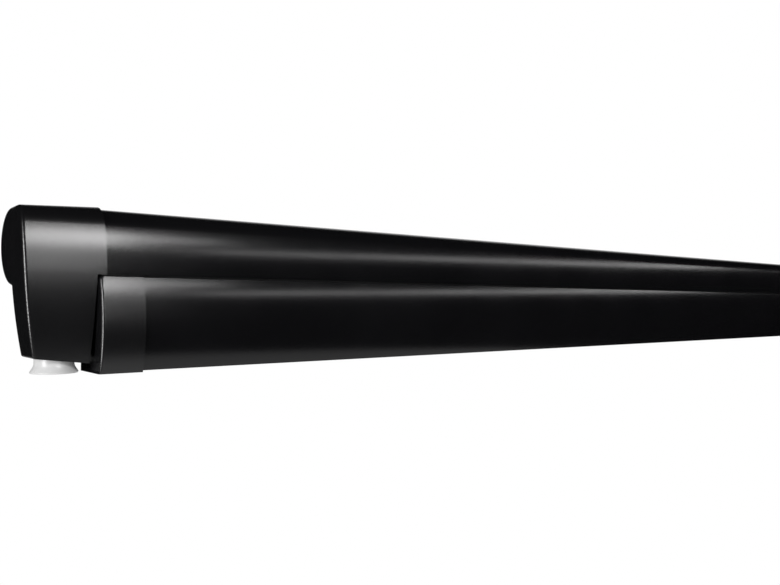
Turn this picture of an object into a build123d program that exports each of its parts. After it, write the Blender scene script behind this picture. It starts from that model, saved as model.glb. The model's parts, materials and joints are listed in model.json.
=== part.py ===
"""Roll-out cassette awning for the side wall of a camper van, closed, at real size in millimetres.

The origin is the middle of the wall plane. X runs along the awning, the front is -Y, the wall is +Y, up is +Z.
Cross sections are drawn in (y, z). Places near an end are given as u, the distance in from the outer face
of the left end. The right end is the mirror image of the left one, apart from the lane of its leg.
"""
from build123d import *
import os
from math import acos, atan2, cos, degrees, pi, radians, sin, sqrt, tan

# Overall
LENGTH = 2600.0
LEFT_END = -LENGTH / 2
OVERRUN = 20.0

# Cassette section
HEAD_Y = -38.5
HEAD_Z = 36.0
HEAD_RADIUS = 34.0
BROW_RADIUS = 24.0
BROW_TURN = 72.0
HOOD_RADIUS = 134.0
HOOD_LIP_Z = 12.0
HOOD_FRONT_Y = -89.4
REAR_WALL_Y = -41.0
REAR_WALL_BOTTOM_Z = -60.0
CASSETTE_WALL = 1.8
HOOD_LIP_DEPTH = 7.0
SHELF_TOP_Z = 2.2
SHELF_DEPTH = 18.0
SHELF_HOOK = 2.4
BEAD_DEPTH = 3.4
BEAD_HEIGHT = 3.0
RIB_ANGLE = 64.0
RIB_HEIGHT = 2.0
RIB_WIDTH = 2.6
PORT_RADIUS = 3.6
PORT_BORE = 1.9
PORT_ANGLE = 150.0
CASSETTE_END_U = 48.0
SEAL_GAP = 0.4
SEAL_DEPTH = 5.0

# End cap
CAP_PROUD = 2.0
CAP_TAPER = 3.0
CAP_WIDTH = 65.0
CAP_WALL = 2.5
CAP_FIT = 0.3
CAP_EDGE_FILLET = 3.5
CAP_LEG_FRONT_RECEDE = 10.0
CAP_LEG_BULGE_SHARE = 0.28
CAP_BOTTOM_OUTER_Z = -57.4
CAP_BOTTOM_INNER_Z = -62.9
CAP_DRAFT = 9.5
CAP_DRAFT_START_Z = 45.0
CAP_LEG_INNER_U = 57.3
CAP_LEG_TOP_Z = 11.9
CAP_LEG_BOTTOM_U = 54.0

# Lead rail section
RAIL_FRONT_Y = -101.0
RAIL_TOP_Z = 10.0
RAIL_BOTTOM_Z = -70.0
RAIL_EDGE_Y = -94.5
RAIL_BACK_Y = -45.5
RAIL_WALL = 1.8
RAIL_FLOOR_TOP_Z = -34.0
RAIL_BACK_BOTTOM_Z = -66.0
RAIL_LIP = 3.0
LANE_RIB = 1.4
LANE_RIB_BOTTOM_Z = -50.0
KEDER_Y = -72.0
KEDER_Z = 5.0
KEDER_WALL_RADIUS = 4.0
KEDER_BORE = 2.6
KEDER_SLOT = 1.8
KEDER_ROD = 2.3

# Lead rail cap
RAIL_CAP_U = 57.8
RAIL_CAP_WIDTH = 36.5
RAIL_CAP_PROUD = 1.5
RAIL_CAP_PLATE = 3.2
RAIL_CAP_CORNER = 4.5
RAIL_CAP_EDGE = 2.5

# Arms
ARM_Z = -17.0
SHOULDER_U = 95.0
SHOULDER_Y = -58.0
ELBOW_OFFSET = 13.0
ELBOW_SPACING = 290.0
ARM_TUBE_WIDTH = 18.0
ARM_TUBE_HEIGHT = 24.0
ARM_TUBE_WALL = 1.8
ARM_TUBE_CORNER = 4.0
ARM_TUBE_START = 26.0
ARM_TUBE_STOP = 30.0
ARM_PLUG_REACH = 34.0
ARM_PLUG_FIT = 0.15
ARM_PIN_RADIUS = 4.0
PIN_FIT = 0.06
PIN_HEAD_RADIUS = 6.0
PIN_HEAD_HEIGHT = 2.0
KNUCKLE_RADIUS = 10.5
KNUCKLE_HALF = 10.0
EAR_GAP = 0.5
EAR_THICK = 4.0
ELBOW_RADIUS = 12.5
ELBOW_EYE_HALF = 6.0
ELBOW_EAR_THICK = 4.5
SPRING_RADIUS = 6.0
SPRING_END_ROOM = 153.0
SPRING_CABLE = 1.5
BRACKET_WALL = 4.2
SHOULDER_PLATE_BACK = 22.0
SHOULDER_PLATE_FRONT = 38.0
WRIST_WEB = 4.0
WRIST_FOOT_REACH = 34.0

# Roller
TUBE_RADIUS = 21.0
TUBE_WALL = 1.5
ROLL_RADIUS = 29.0
ROLL_FIT = 0.1
TUBE_START_U = 62.0
ROLL_START_U = 75.0
JOURNAL_RADIUS = 6.0
JOURNAL_END_U = 19.0
PLUG_DEPTH = 30.0
PLUG_FLANGE = 2.5
TUBE_GROOVE = 2.4
GROOVE_ROOM = 10.8

# Gear pair in the left end cap
GEAR_MODULE = 1.6
WORM_STARTS = 2
WHEEL_TEETH = 20
WORM_PITCH_RADIUS = 7.5
WORM_LENGTH = 24.0
TOOTH_SHARE = 0.43
FLANK_ANGLE = 20.0
DEDENDUM_SHARE = 1.2
FLANK_STEPS = 3
GEAR_U = 31.0
WHEEL_WIDTH = 11.0
HUB_RADIUS = 10.0
HUB_WIDTH = 16.0
WORM_SHAFT_RADIUS = 5.0
WORM_SHAFT_TOP_Z = 57.0
HOUSING_WALL = 2.2
HOUSING_GAP = 1.2
HOUSING_START_U = 17.0
BEARING_PLATE_U = 43.6
BEARING_PLATE_THICK = 4.2
SHAFT_FIT = 0.06

# Crank bell under the left end cap
BELL_RADIUS = 19.0
BELL_NECK_RADIUS = 15.8
BELL_TOP_Z = -54.0
BELL_RIM_TOP_Z = -64.5
BELL_BOTTOM_Z = -73.0
BELL_WALL = 2.6
BELL_CEILING = 3.6
BELL_PORT_FIT = 0.6
BELL_RIM_ROUND = 2.6
CRANK_BAR_RADIUS = 2.2
CRANK_BAR_Z = -64.0

# Legs
LEG_PIVOT_U = 82.0
LEG_Z = -51.0
FRONT_LANE_Y = -81.0
REAR_LANE_Y = -59.0
FEET_SPACING = 2.0
LEG_WIDTH = 19.0
LEG_HEIGHT = 26.0
LEG_WALL = 1.5
LEG_CORNER = 4.0
LEG_SLIDE_FIT = 0.3
LEG_TUBE_START = 20.0
LEG_PLUG_REACH = 30.0
LEG_INNER_START = 60.0
LEG_INNER_SHOW = 24.0
LEG_KNUCKLE_RADIUS = 12.0
LEG_KNUCKLE_WIDTH = 12.0
LEG_PIN_RADIUS = 3.0
CHEEK_GAP = 0.4
CHEEK_THICK = 3.0
CHEEK_RADIUS = 9.0
COLLAR_LENGTH = 14.0
LEVER_PIVOT_Z = -66.6
LEVER_LENGTH = 44.0
LEVER_WIDTH = 13.0
LEVER_THICK = 2.9
LEVER_TIP_ROUND = 4.3
LEVER_EAR_RADIUS = 2.5
LEVER_PIN_RADIUS = 1.2
FOOT_PIVOT = 13.0
FORK_PLUG_CORNER = 1.0
FOOT_LUG_WIDTH = 7.4
FOOT_LUG_RADIUS = 7.0
FOOT_CHEEK_RADIUS = 7.5
FOOT_SOLE_DROP = 14.2
FOOT_SOLE_THICK = 3.4
FOOT_SOLE_BACK = 36.0
FOOT_SOLE_FRONT = 9.0
FOOT_SOLE_WIDTH = 18.0

# Wall brackets
BRACKET_END_ROOM = 300.0
BRACKET_COUNT = 3
BRACKET_WIDTH = 60.0
BRACKET_PLATE = 4.0
BRACKET_FIT = 0.3
BRACKET_HOOK = 3.0
BRACKET_HOOK_ANGLE = 60.0
BRACKET_BOTTOM_Z = -63.4
BRACKET_TOP_Z = 58.0
BRACKET_WEB = 4.0
BRACKET_BRACE_RISE = 20.0
WALL_HOLE_RADIUS = 3.3
WALL_HOLE_SPACING = 36.0
WALL_HOLE_Z = -22.0
ACCESS_HOLE_RADIUS = 7.0

# Fasteners
SCREW_HEAD_RADIUS = 3.6
SCREW_HEAD_HEIGHT = 2.4
SCREW_RADIUS = 1.8

# Fabric
FABRIC_THICK = 0.5
FABRIC_GAP = 0.4

SHOULDER_X = LEFT_END + SHOULDER_U
WRIST_Y = SHOULDER_Y - 2 * ELBOW_OFFSET
ELBOW_Y = SHOULDER_Y - ELBOW_OFFSET
ELBOW_X = -ELBOW_SPACING / 2
RAIL_HALF = (RAIL_TOP_Z - RAIL_BOTTOM_Z) / 2
RAIL_SAGITTA = RAIL_EDGE_Y - RAIL_FRONT_Y
RAIL_RADIUS = (RAIL_HALF**2 + RAIL_SAGITTA**2) / (2 * RAIL_SAGITTA)
RAIL_MID_Z = (RAIL_TOP_Z + RAIL_BOTTOM_Z) / 2
WHEEL_PITCH_RADIUS = WHEEL_TEETH * GEAR_MODULE / 2
WORM_Y = HEAD_Y - WHEEL_PITCH_RADIUS - WORM_PITCH_RADIUS
GEAR_X = LEFT_END + GEAR_U
SHELF_FRONT_Y = REAR_WALL_Y - CASSETTE_WALL - SHELF_DEPTH
LEG_PIVOT_X = LEFT_END + LEG_PIVOT_U
FOOT_X = -FEET_SPACING / 2
LEG_INNER_END_X = FOOT_X - FOOT_PIVOT
LEG_END_X = LEG_INNER_END_X - LEG_INNER_SHOW


def polar(centre, radius, angle):
    """A point at a distance and an angle in degrees from a centre."""
    return (centre[0] + radius * cos(radians(angle)), centre[1] + radius * sin(radians(angle)))


def arc(centre, radius, start, stop):
    """An arc from one angle to another, in degrees, on either side."""
    mid = (start + stop) / 2
    return ThreePointArc(polar(centre, radius, start), polar(centre, radius, mid), polar(centre, radius, stop))


def outline(points):
    """A face through straight sides, given its corners in (y, z)."""
    return make_face(Polyline(*points, close=True))


def block(y0, y1, z0, z1):
    """An upright rectangle in a section, given its sides."""
    return outline([(y0, z0), (y1, z0), (y1, z1), (y0, z1)])


def run(face, x0, x1):
    """Extrude a section along the awning between two places."""
    return Pos(X=x0) * extrude(Plane.YZ * face, amount=x1 - x0)


def box(x0, x1, y0, y1, z0, z1):
    """A square block, given its six sides."""
    return run(block(y0, y1, z0, z1), x0, x1)


def rod_x(x0, x1, y, z, radius):
    """A round bar along X."""
    return run(Pos(y, z) * Circle(radius), x0, x1)


def rod_y(x, y0, y1, z, radius):
    """A round bar along Y."""
    return Pos(x, y1, z) * extrude(Plane.XZ * Circle(radius), amount=y1 - y0)


def rod_z(x, y, z0, z1, radius):
    """A round bar along Z."""
    return Pos(x, y, z0) * extrude(Circle(radius), amount=z1 - z0)


def other_side(shape):
    """The right-hand copy of a left-hand piece."""
    return mirror(shape, about=Plane.YZ)


def hood_centre():
    """The centre of the hood's large curve."""
    return (HOOD_FRONT_Y + HOOD_RADIUS, HOOD_LIP_Z)


def brow_centre():
    """The centre of the round brow at the top front of the hood."""
    joint = polar(hood_centre(), HOOD_RADIUS, 90 + BROW_TURN)
    return polar(joint, -BROW_RADIUS, 90 + BROW_TURN)


def cassette_path(grow):
    """The cassette's outer line from the hood's lip over the head to the foot of the rear wall."""
    turn_angle = 90 + BROW_TURN
    foot_y = REAR_WALL_Y + grow
    head_foot_z = HEAD_Z - HEAD_RADIUS - grow
    brow_top = polar(brow_centre(), BROW_RADIUS + grow, 90)
    head_top = (HEAD_Y, HEAD_Z + HEAD_RADIUS + grow)
    return [
        arc(hood_centre(), HOOD_RADIUS + grow, 180, turn_angle),
        arc(brow_centre(), BROW_RADIUS + grow, turn_angle, 90),
        Line(brow_top, head_top),
        arc((HEAD_Y, HEAD_Z), HEAD_RADIUS + grow, 90, -90),
        Line((HEAD_Y, head_foot_z), (foot_y, head_foot_z)),
        Line((foot_y, head_foot_z), (foot_y, REAR_WALL_BOTTOM_Z)),
    ]


def cassette_region(grow):
    """Everything that the cassette's line encloses, closed straight below the hood's lip."""
    foot_y = REAR_WALL_Y + grow
    front_y = HOOD_FRONT_Y - grow
    closing = Polyline((foot_y, REAR_WALL_BOTTOM_Z), (front_y, REAR_WALL_BOTTOM_Z), (front_y, HOOD_LIP_Z))
    return make_face([*cassette_path(grow), *closing.edges()])


def cassette_ribs():
    """What stands out behind the cassette's wall: the bead at the foot and the rib on the head."""
    bead = block(REAR_WALL_Y - CASSETTE_WALL, REAR_WALL_Y + BEAD_DEPTH,
                 REAR_WALL_BOTTOM_Z, REAR_WALL_BOTTOM_Z + BEAD_HEIGHT)
    rib_place = Location((HEAD_Y, HEAD_Z), RIB_ANGLE) * Pos(X=HEAD_RADIUS)
    return bead + rib_place * Rectangle(2 * RIB_HEIGHT, RIB_WIDTH)


def cassette_section():
    """The drawn aluminium section: hood, head, rear wall, shelf, ribs and the screw port."""
    inner_y = REAR_WALL_Y - CASSETTE_WALL
    wall = cassette_region(0) - cassette_region(-CASSETTE_WALL)
    wall -= block(HOOD_FRONT_Y - OVERRUN, inner_y, REAR_WALL_BOTTOM_Z - OVERRUN, HOOD_LIP_Z)
    lip = block(HOOD_FRONT_Y, HOOD_FRONT_Y + HOOD_LIP_DEPTH, HOOD_LIP_Z, HOOD_LIP_Z + CASSETTE_WALL)
    shelf = block(SHELF_FRONT_Y, inner_y, SHELF_TOP_Z - CASSETTE_WALL, SHELF_TOP_Z)
    hook = block(SHELF_FRONT_Y, SHELF_FRONT_Y + CASSETTE_WALL, SHELF_TOP_Z - SHELF_HOOK, SHELF_TOP_Z)
    port_centre = polar(brow_centre(), BROW_RADIUS - PORT_RADIUS, PORT_ANGLE)
    port = Pos(*port_centre) * Circle(PORT_RADIUS)
    section = wall + lip + shelf + hook + cassette_ribs() + port
    return section - Pos(*port_centre) * Circle(PORT_BORE)


def cassette_body():
    """The cassette's main section, its ribs milled away where the end caps go over it."""
    body = run(cassette_section(), LEFT_END + CASSETTE_END_U, -LEFT_END - CASSETTE_END_U)
    milled = run(cassette_ribs() - cassette_region(0), LEFT_END, LEFT_END + CAP_WIDTH + CAP_FIT)
    return body - milled - other_side(milled)


def hood_seal():
    """The rubber strip under the hood's lip that the lead rail closes against."""
    top = HOOD_LIP_Z
    bottom = RAIL_TOP_Z + SEAL_GAP
    nose = outline([
        (HOOD_FRONT_Y + CASSETTE_WALL, top),
        (HOOD_FRONT_Y + CASSETTE_WALL, (top + bottom) / 2),
        (HOOD_FRONT_Y + SEAL_DEPTH / 2, bottom),
        (HOOD_FRONT_Y + SEAL_DEPTH, bottom),
        (HOOD_FRONT_Y + HOOD_LIP_DEPTH, top),
    ])
    end = RAIL_CAP_U + RAIL_CAP_WIDTH + SEAL_GAP
    return run(nose, LEFT_END + end, -LEFT_END - end)


def cap_profile(grow):
    """The end cap's closed outline in (y, z), with its leg running down below the hood."""
    foot_y = REAR_WALL_Y + grow
    front_y = HOOD_FRONT_Y - grow
    bottom = CAP_BOTTOM_INNER_Z - CAP_PROUD - grow
    toe_y = front_y + CAP_LEG_FRONT_RECEDE
    bulge_y = front_y + CAP_LEG_FRONT_RECEDE * CAP_LEG_BULGE_SHARE
    path = cassette_path(grow)[:5]
    head_foot_z = HEAD_Z - HEAD_RADIUS - grow
    return make_face([
        *path,
        Line((foot_y, head_foot_z), (foot_y, bottom)),
        Line((foot_y, bottom), (toe_y, bottom)),
        ThreePointArc((toe_y, bottom), (bulge_y, (bottom + HOOD_LIP_Z) / 2), (front_y, HOOD_LIP_Z)),
    ])


def draft_u(z, inset):
    """How far in the end cap's rounded outer face lies at a height; it stands out most at CAP_DRAFT_START_Z."""
    rise = CAP_DRAFT_START_Z - CAP_BOTTOM_OUTER_Z
    radius = (CAP_DRAFT**2 + rise**2) / (2 * CAP_DRAFT)
    return inset + radius - sqrt(radius**2 - (z - CAP_DRAFT_START_Z)**2)


def cap_front_view(inset):
    """The end cap seen from the front, as a block: rounded outer face, sloping foot, step inside."""
    top = HEAD_Z + HEAD_RADIUS + OVERRUN
    toe_z = CAP_BOTTOM_OUTER_Z + inset
    crown = (draft_u(top, inset), top)
    toe = (draft_u(toe_z, inset), toe_z)
    heel = (CAP_LEG_BOTTOM_U - inset, CAP_BOTTOM_INNER_Z + inset)
    step = (CAP_LEG_INNER_U - inset, CAP_LEG_TOP_Z)
    inner = CAP_WIDTH + OVERRUN
    face = make_face([
        ThreePointArc(crown, (inset, CAP_DRAFT_START_Z), toe),
        Polyline(toe, heel, step, (inner, CAP_LEG_TOP_Z), (inner, top), crown),
    ])
    depth = 2 * OVERRUN - HOOD_FRONT_Y
    return Pos(X=LEFT_END, Y=OVERRUN) * extrude(Plane.XZ * face, amount=depth)


def cap_form():
    """The end cap's outer form: a profile that tapers outwards, its outer edge rounded."""
    outer = Pos(X=LEFT_END) * (Plane.YZ * cap_profile(CAP_PROUD - CAP_TAPER))
    inner = Pos(X=LEFT_END + CAP_WIDTH) * (Plane.YZ * cap_profile(CAP_PROUD))
    form = loft([outer, inner], ruled=True) & cap_front_view(0)
    rim = [edge for edge in form.edges() if edge.bounding_box().max.X < LEFT_END + CAP_DRAFT + CAP_FIT]
    return fillet(rim, CAP_EDGE_FILLET)


def end_cap():
    """A moulded end cap with thin walls, drawn over the end of the cassette."""
    seam = LEFT_END + CASSETTE_END_U
    inner_end = LEFT_END + CAP_WIDTH
    hollow = run(cap_profile(CAP_PROUD - CAP_TAPER - CAP_WALL), LEFT_END, inner_end) & cap_front_view(CAP_WALL)
    sleeve = run(cassette_region(CAP_FIT), seam - CAP_FIT, inner_end + OVERRUN)
    sleeve -= box(LEFT_END, 0, HOOD_FRONT_Y - OVERRUN, REAR_WALL_Y - CASSETTE_WALL - CAP_FIT,
                  CAP_BOTTOM_INNER_Z - OVERRUN, HOOD_LIP_Z - CAP_FIT)
    shelf_slot = box(seam, inner_end, SHELF_FRONT_Y - CAP_FIT, REAR_WALL_Y - CASSETTE_WALL,
                     SHELF_TOP_Z - SHELF_HOOK - CAP_FIT, SHELF_TOP_Z + CAP_FIT)
    return cap_form() - hollow - sleeve - shelf_slot


def bell_port():
    """The round opening in the end cap's foot that the bell's neck comes down through."""
    radius = BELL_NECK_RADIUS + BELL_PORT_FIT
    return rod_z(GEAR_X, WORM_Y, CAP_BOTTOM_INNER_Z - OVERRUN, BELL_TOP_Z + OVERRUN, radius)


def rail_region(grow):
    """Everything inside the lead rail's outer line."""
    centre = (RAIL_FRONT_Y + RAIL_RADIUS, RAIL_MID_Z)
    radius = RAIL_RADIUS + grow
    half = RAIL_HALF + grow
    edge_y = centre[0] - sqrt(radius**2 - half**2)
    back = RAIL_BACK_Y + grow
    top, bottom = RAIL_MID_Z + half, RAIL_MID_Z - half
    front = ThreePointArc((edge_y, top), (centre[0] - radius, RAIL_MID_Z), (edge_y, bottom))
    rest = Polyline((edge_y, bottom), (back, bottom), (back, top), (edge_y, top))
    return make_face([front, *rest.edges()])


def rail_disc(grow):
    """The round whose front stretch is the lead rail's curved face, as a face for cutting."""
    return Pos(RAIL_FRONT_Y + RAIL_RADIUS, RAIL_MID_Z) * Circle(RAIL_RADIUS + grow)


def rail_section():
    """The lead rail: curved face, top with the fabric groove, floor under the arms, two leg lanes."""
    inner = rail_disc(-RAIL_WALL)
    under_floor = RAIL_FLOOR_TOP_Z - RAIL_WALL
    far = RAIL_BACK_Y + OVERRUN
    front = RAIL_FRONT_Y - OVERRUN
    arm_space = inner & block(front, far, RAIL_FLOOR_TOP_Z, RAIL_TOP_Z - RAIL_WALL)
    leg_space = inner & block(front, RAIL_BACK_Y - RAIL_WALL, RAIL_BOTTOM_Z - OVERRUN, under_floor)
    above = block(KEDER_Y, far, RAIL_TOP_Z - RAIL_WALL, RAIL_TOP_Z + OVERRUN)
    section = rail_region(0) - arm_space - leg_space - above
    section -= block(RAIL_BACK_Y - 2 * RAIL_WALL, far, RAIL_BOTTOM_Z - OVERRUN, RAIL_BACK_BOTTOM_Z)
    lip = block(RAIL_EDGE_Y, RAIL_EDGE_Y + RAIL_LIP, RAIL_BOTTOM_Z, RAIL_BOTTOM_Z + RAIL_WALL)
    lane_mid = (FRONT_LANE_Y + REAR_LANE_Y) / 2
    rib = block(lane_mid - LANE_RIB / 2, lane_mid + LANE_RIB / 2, LANE_RIB_BOTTOM_Z, RAIL_FLOOR_TOP_Z)
    keder = Pos(KEDER_Y, KEDER_Z) * Circle(KEDER_WALL_RADIUS)
    section = section + lip + rib + keder
    section -= Pos(KEDER_Y, KEDER_Z) * Circle(KEDER_BORE)
    return section - block(KEDER_Y, far, KEDER_Z - KEDER_SLOT / 2, KEDER_Z + KEDER_SLOT / 2)


def rail_end_u():
    """Where the lead rail's section starts behind its cap's plate."""
    return RAIL_CAP_U + RAIL_CAP_PLATE + CAP_FIT


def lead_rail_body():
    """The lead rail's drawn section between its caps."""
    return run(rail_section(), LEFT_END + rail_end_u(), -LEFT_END - rail_end_u())


def lead_rail_cap():
    """The cap on the end of the lead rail: a plate and a thin skirt over the section."""
    x0 = LEFT_END + RAIL_CAP_U
    x1 = x0 + RAIL_CAP_WIDTH
    form = run(rail_region(RAIL_CAP_PROUD), x0, x1)
    corner = form.edges().filter_by(Axis.Y).group_by(Axis.X)[0].sort_by(Axis.Z)
    form = fillet(corner[-1], RAIL_CAP_CORNER)
    face_edges = [edge for edge in form.edges() if edge.bounding_box().max.Y < RAIL_EDGE_Y + RAIL_CAP_PROUD
                  and edge.bounding_box().max.X < x0 + RAIL_CAP_CORNER + CAP_FIT]
    form = fillet(face_edges, RAIL_CAP_EDGE)
    inside = x0 + RAIL_CAP_PLATE
    far = x1 + OVERRUN
    form -= run(rail_region(CAP_FIT), inside, far)
    form -= box(inside, far, RAIL_EDGE_Y + RAIL_LIP, RAIL_BACK_Y - RAIL_WALL,
                RAIL_BOTTOM_Z - OVERRUN, RAIL_MID_Z)
    return form - box(x0 - OVERRUN, far, KEDER_Y + KEDER_WALL_RADIUS, RAIL_BACK_Y + OVERRUN,
                      RAIL_FLOOR_TOP_Z, OVERRUN)


def fabric_keder():
    """The welded rod along the fabric's front hem, threaded into the lead rail's groove."""
    return rod_x(LEFT_END + ROLL_START_U, -LEFT_END - ROLL_START_U, KEDER_Y, KEDER_Z, KEDER_ROD)


def tube_face(width, height, wall, corner):
    """A hollow rounded rectangle about the middle of its section."""
    inner = RectangleRounded(width - 2 * wall, height - 2 * wall, corner - wall)
    return RectangleRounded(width, height, corner) - inner


def arm_tube(y, x0, x1):
    """An arm's drawn tube."""
    face = Pos(y, ARM_Z) * tube_face(ARM_TUBE_WIDTH, ARM_TUBE_HEIGHT, ARM_TUBE_WALL, ARM_TUBE_CORNER)
    return run(face, x0, x1)


def arm_plug(y, x0, x1):
    """The part of an arm casting that is pressed into the tube."""
    inset = 2 * (ARM_TUBE_WALL + ARM_PLUG_FIT)
    face = RectangleRounded(ARM_TUBE_WIDTH - inset, ARM_TUBE_HEIGHT - inset, ARM_TUBE_CORNER - ARM_TUBE_WALL)
    return run(Pos(y, ARM_Z) * face, x0, x1)


def arm_shoulder(y, x0, x1):
    """The full-size stretch of an arm casting, between its joint and its tube."""
    face = RectangleRounded(ARM_TUBE_WIDTH, ARM_TUBE_HEIGHT, ARM_TUBE_CORNER)
    return run(Pos(y, ARM_Z) * face, x0, x1)


def end_knuckle(y):
    """A casting with an upright eye at the tube's own line, for the shoulder or the wrist."""
    tube_start = SHOULDER_X + ARM_TUBE_START
    eye = rod_z(SHOULDER_X, y, ARM_Z - KNUCKLE_HALF, ARM_Z + KNUCKLE_HALF, KNUCKLE_RADIUS)
    neck = box(SHOULDER_X, tube_start, y - ARM_TUBE_WIDTH / 2 + ARM_TUBE_WALL,
               y + ARM_TUBE_WIDTH / 2 - ARM_TUBE_WALL, ARM_Z - KNUCKLE_HALF, ARM_Z + KNUCKLE_HALF)
    collar = arm_shoulder(y, SHOULDER_X + KNUCKLE_RADIUS + EAR_THICK, tube_start)
    plug = arm_plug(y, tube_start, tube_start + ARM_PLUG_REACH)
    bore = rod_z(SHOULDER_X, y, ARM_Z - KNUCKLE_HALF - OVERRUN, ARM_Z + KNUCKLE_HALF + OVERRUN,
                 ARM_PIN_RADIUS + PIN_FIT)
    return eye + neck + collar + plug - bore


def link_face(start, stop, start_radius, stop_radius):
    """A flat link between two rounds, drawn as their common tangent outline."""
    span = sqrt((stop[0] - start[0])**2 + (stop[1] - start[1])**2)
    heading = degrees(atan2(stop[1] - start[1], stop[0] - start[0]))
    lean = degrees(acos((start_radius - stop_radius) / span))
    up, down = heading + lean, heading - lean
    corners = [polar(start, start_radius, up), polar(start, start_radius, down),
               polar(stop, stop_radius, down), polar(stop, stop_radius, up)]
    return outline(corners) + Pos(*start) * Circle(start_radius) + Pos(*stop) * Circle(stop_radius)


def link(start, stop, start_radius, stop_radius, z0, z1):
    """A flat link of a given height."""
    return Pos(Z=z0) * extrude(link_face(start, stop, start_radius, stop_radius), amount=z1 - z0)


def arm_tube_end():
    """Where an arm's tube ends before the elbow casting."""
    return ELBOW_X - ARM_TUBE_STOP - ARM_TUBE_WIDTH / 2


def elbow_casting(y, half_low, half_high):
    """A casting from a tube's line across to the elbow pin, as one eye or as a fork of two ears."""
    tube_stop = ELBOW_X - ARM_TUBE_STOP
    root = (tube_stop, y)
    collar = arm_shoulder(y, arm_tube_end(), tube_stop + EAR_THICK)
    body = collar + arm_plug(y, arm_tube_end() - ARM_PLUG_REACH, tube_stop)
    root_radius = ARM_TUBE_WIDTH / 2
    pin = (ELBOW_X, ELBOW_Y)
    if half_low == 0:
        body += link(root, pin, root_radius, ELBOW_RADIUS, ARM_Z - half_high, ARM_Z + half_high)
    else:
        for side in (-1, 1):
            z_low, z_high = sorted((ARM_Z + side * half_low, ARM_Z + side * half_high))
            body += link(root, pin, root_radius, ELBOW_RADIUS, z_low, z_high)
    return body - rod_z(ELBOW_X, ELBOW_Y, ARM_Z - OVERRUN, ARM_Z + OVERRUN, ARM_PIN_RADIUS + PIN_FIT)


def elbow_ear_half():
    """The height of the elbow fork's outer face above the arm's middle."""
    return ELBOW_EYE_HALF + EAR_GAP + ELBOW_EAR_THICK


def headed_pin(x, y, half):
    """An upright pin with a head on top."""
    pin = rod_z(x, y, ARM_Z - half, ARM_Z + half, ARM_PIN_RADIUS)
    return pin + rod_z(x, y, ARM_Z + half, ARM_Z + half + PIN_HEAD_HEIGHT, PIN_HEAD_RADIUS)


def pin_with_heads(x, y, half):
    """An upright pin with a head at each end."""
    return headed_pin(x, y, half) + rod_z(x, y, ARM_Z - half - PIN_HEAD_HEIGHT, ARM_Z - half, PIN_HEAD_RADIUS)


def knuckle_ear_half():
    """The height of a shoulder or wrist bracket's outer face above the arm's middle."""
    return KNUCKLE_HALF + EAR_GAP + EAR_THICK


def arm_spring():
    """The tension spring in the upper arm, with the cable ends that tie it to both castings."""
    x0 = SHOULDER_X + ARM_TUBE_START + ARM_PLUG_REACH
    x1 = arm_tube_end() - ARM_PLUG_REACH
    cable = rod_x(x0, x1, SHOULDER_Y, ARM_Z, SPRING_CABLE)
    return cable + rod_x(x0 + SPRING_END_ROOM, x1 - SPRING_END_ROOM, SHOULDER_Y, ARM_Z, SPRING_RADIUS)


def shoulder_bracket():
    """The cast bracket on the rear wall that carries the upper arm's pin between two ears."""
    back = REAR_WALL_Y - CASSETTE_WALL
    half = knuckle_ear_half()
    plate = box(SHOULDER_X - SHOULDER_PLATE_BACK, SHOULDER_X + SHOULDER_PLATE_FRONT, back - BRACKET_WALL, back,
                ARM_Z - half, ARM_Z + half)
    body = plate
    for side in (-1, 1):
        z_low, z_high = sorted((ARM_Z + side * (KNUCKLE_HALF + EAR_GAP), ARM_Z + side * half))
        ear = link((SHOULDER_X, SHOULDER_Y), (SHOULDER_X - EAR_THICK, back - BRACKET_WALL / 2),
                   KNUCKLE_RADIUS, BRACKET_WALL / 2, z_low, z_high)
        gusset = Pos(Z=z_low) * extrude(outline([
            (SHOULDER_X - SHOULDER_PLATE_BACK, back), (SHOULDER_X + KNUCKLE_RADIUS, back),
            (SHOULDER_X + KNUCKLE_RADIUS, SHOULDER_Y), (SHOULDER_X - KNUCKLE_RADIUS, SHOULDER_Y)]),
            amount=z_high - z_low)
        body += ear + gusset
    return body - rod_z(SHOULDER_X, SHOULDER_Y, ARM_Z - OVERRUN, ARM_Z + OVERRUN, ARM_PIN_RADIUS)


def wrist_bracket():
    """The bracket on the lead rail's floor that carries the forearm's pin between two ears."""
    half = knuckle_ear_half()
    web_outer = SHOULDER_X - KNUCKLE_RADIUS - EAR_GAP - WRIST_WEB
    web = box(web_outer, web_outer + WRIST_WEB, WRIST_Y - KNUCKLE_RADIUS, WRIST_Y + KNUCKLE_RADIUS,
              RAIL_FLOOR_TOP_Z, ARM_Z + half)
    foot = box(web_outer, SHOULDER_X + WRIST_FOOT_REACH, WRIST_Y - KNUCKLE_RADIUS, WRIST_Y + KNUCKLE_RADIUS,
               RAIL_FLOOR_TOP_Z, ARM_Z - half)
    body = web + foot
    for side in (-1, 1):
        z_low, z_high = sorted((ARM_Z + side * (KNUCKLE_HALF + EAR_GAP), ARM_Z + side * half))
        body += rod_z(SHOULDER_X, WRIST_Y, z_low, z_high, KNUCKLE_RADIUS)
        body += box(web_outer, SHOULDER_X, WRIST_Y - KNUCKLE_RADIUS, WRIST_Y + KNUCKLE_RADIUS, z_low, z_high)
    return body - rod_z(SHOULDER_X, WRIST_Y, ARM_Z - OVERRUN, ARM_Z + OVERRUN, ARM_PIN_RADIUS)


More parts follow.
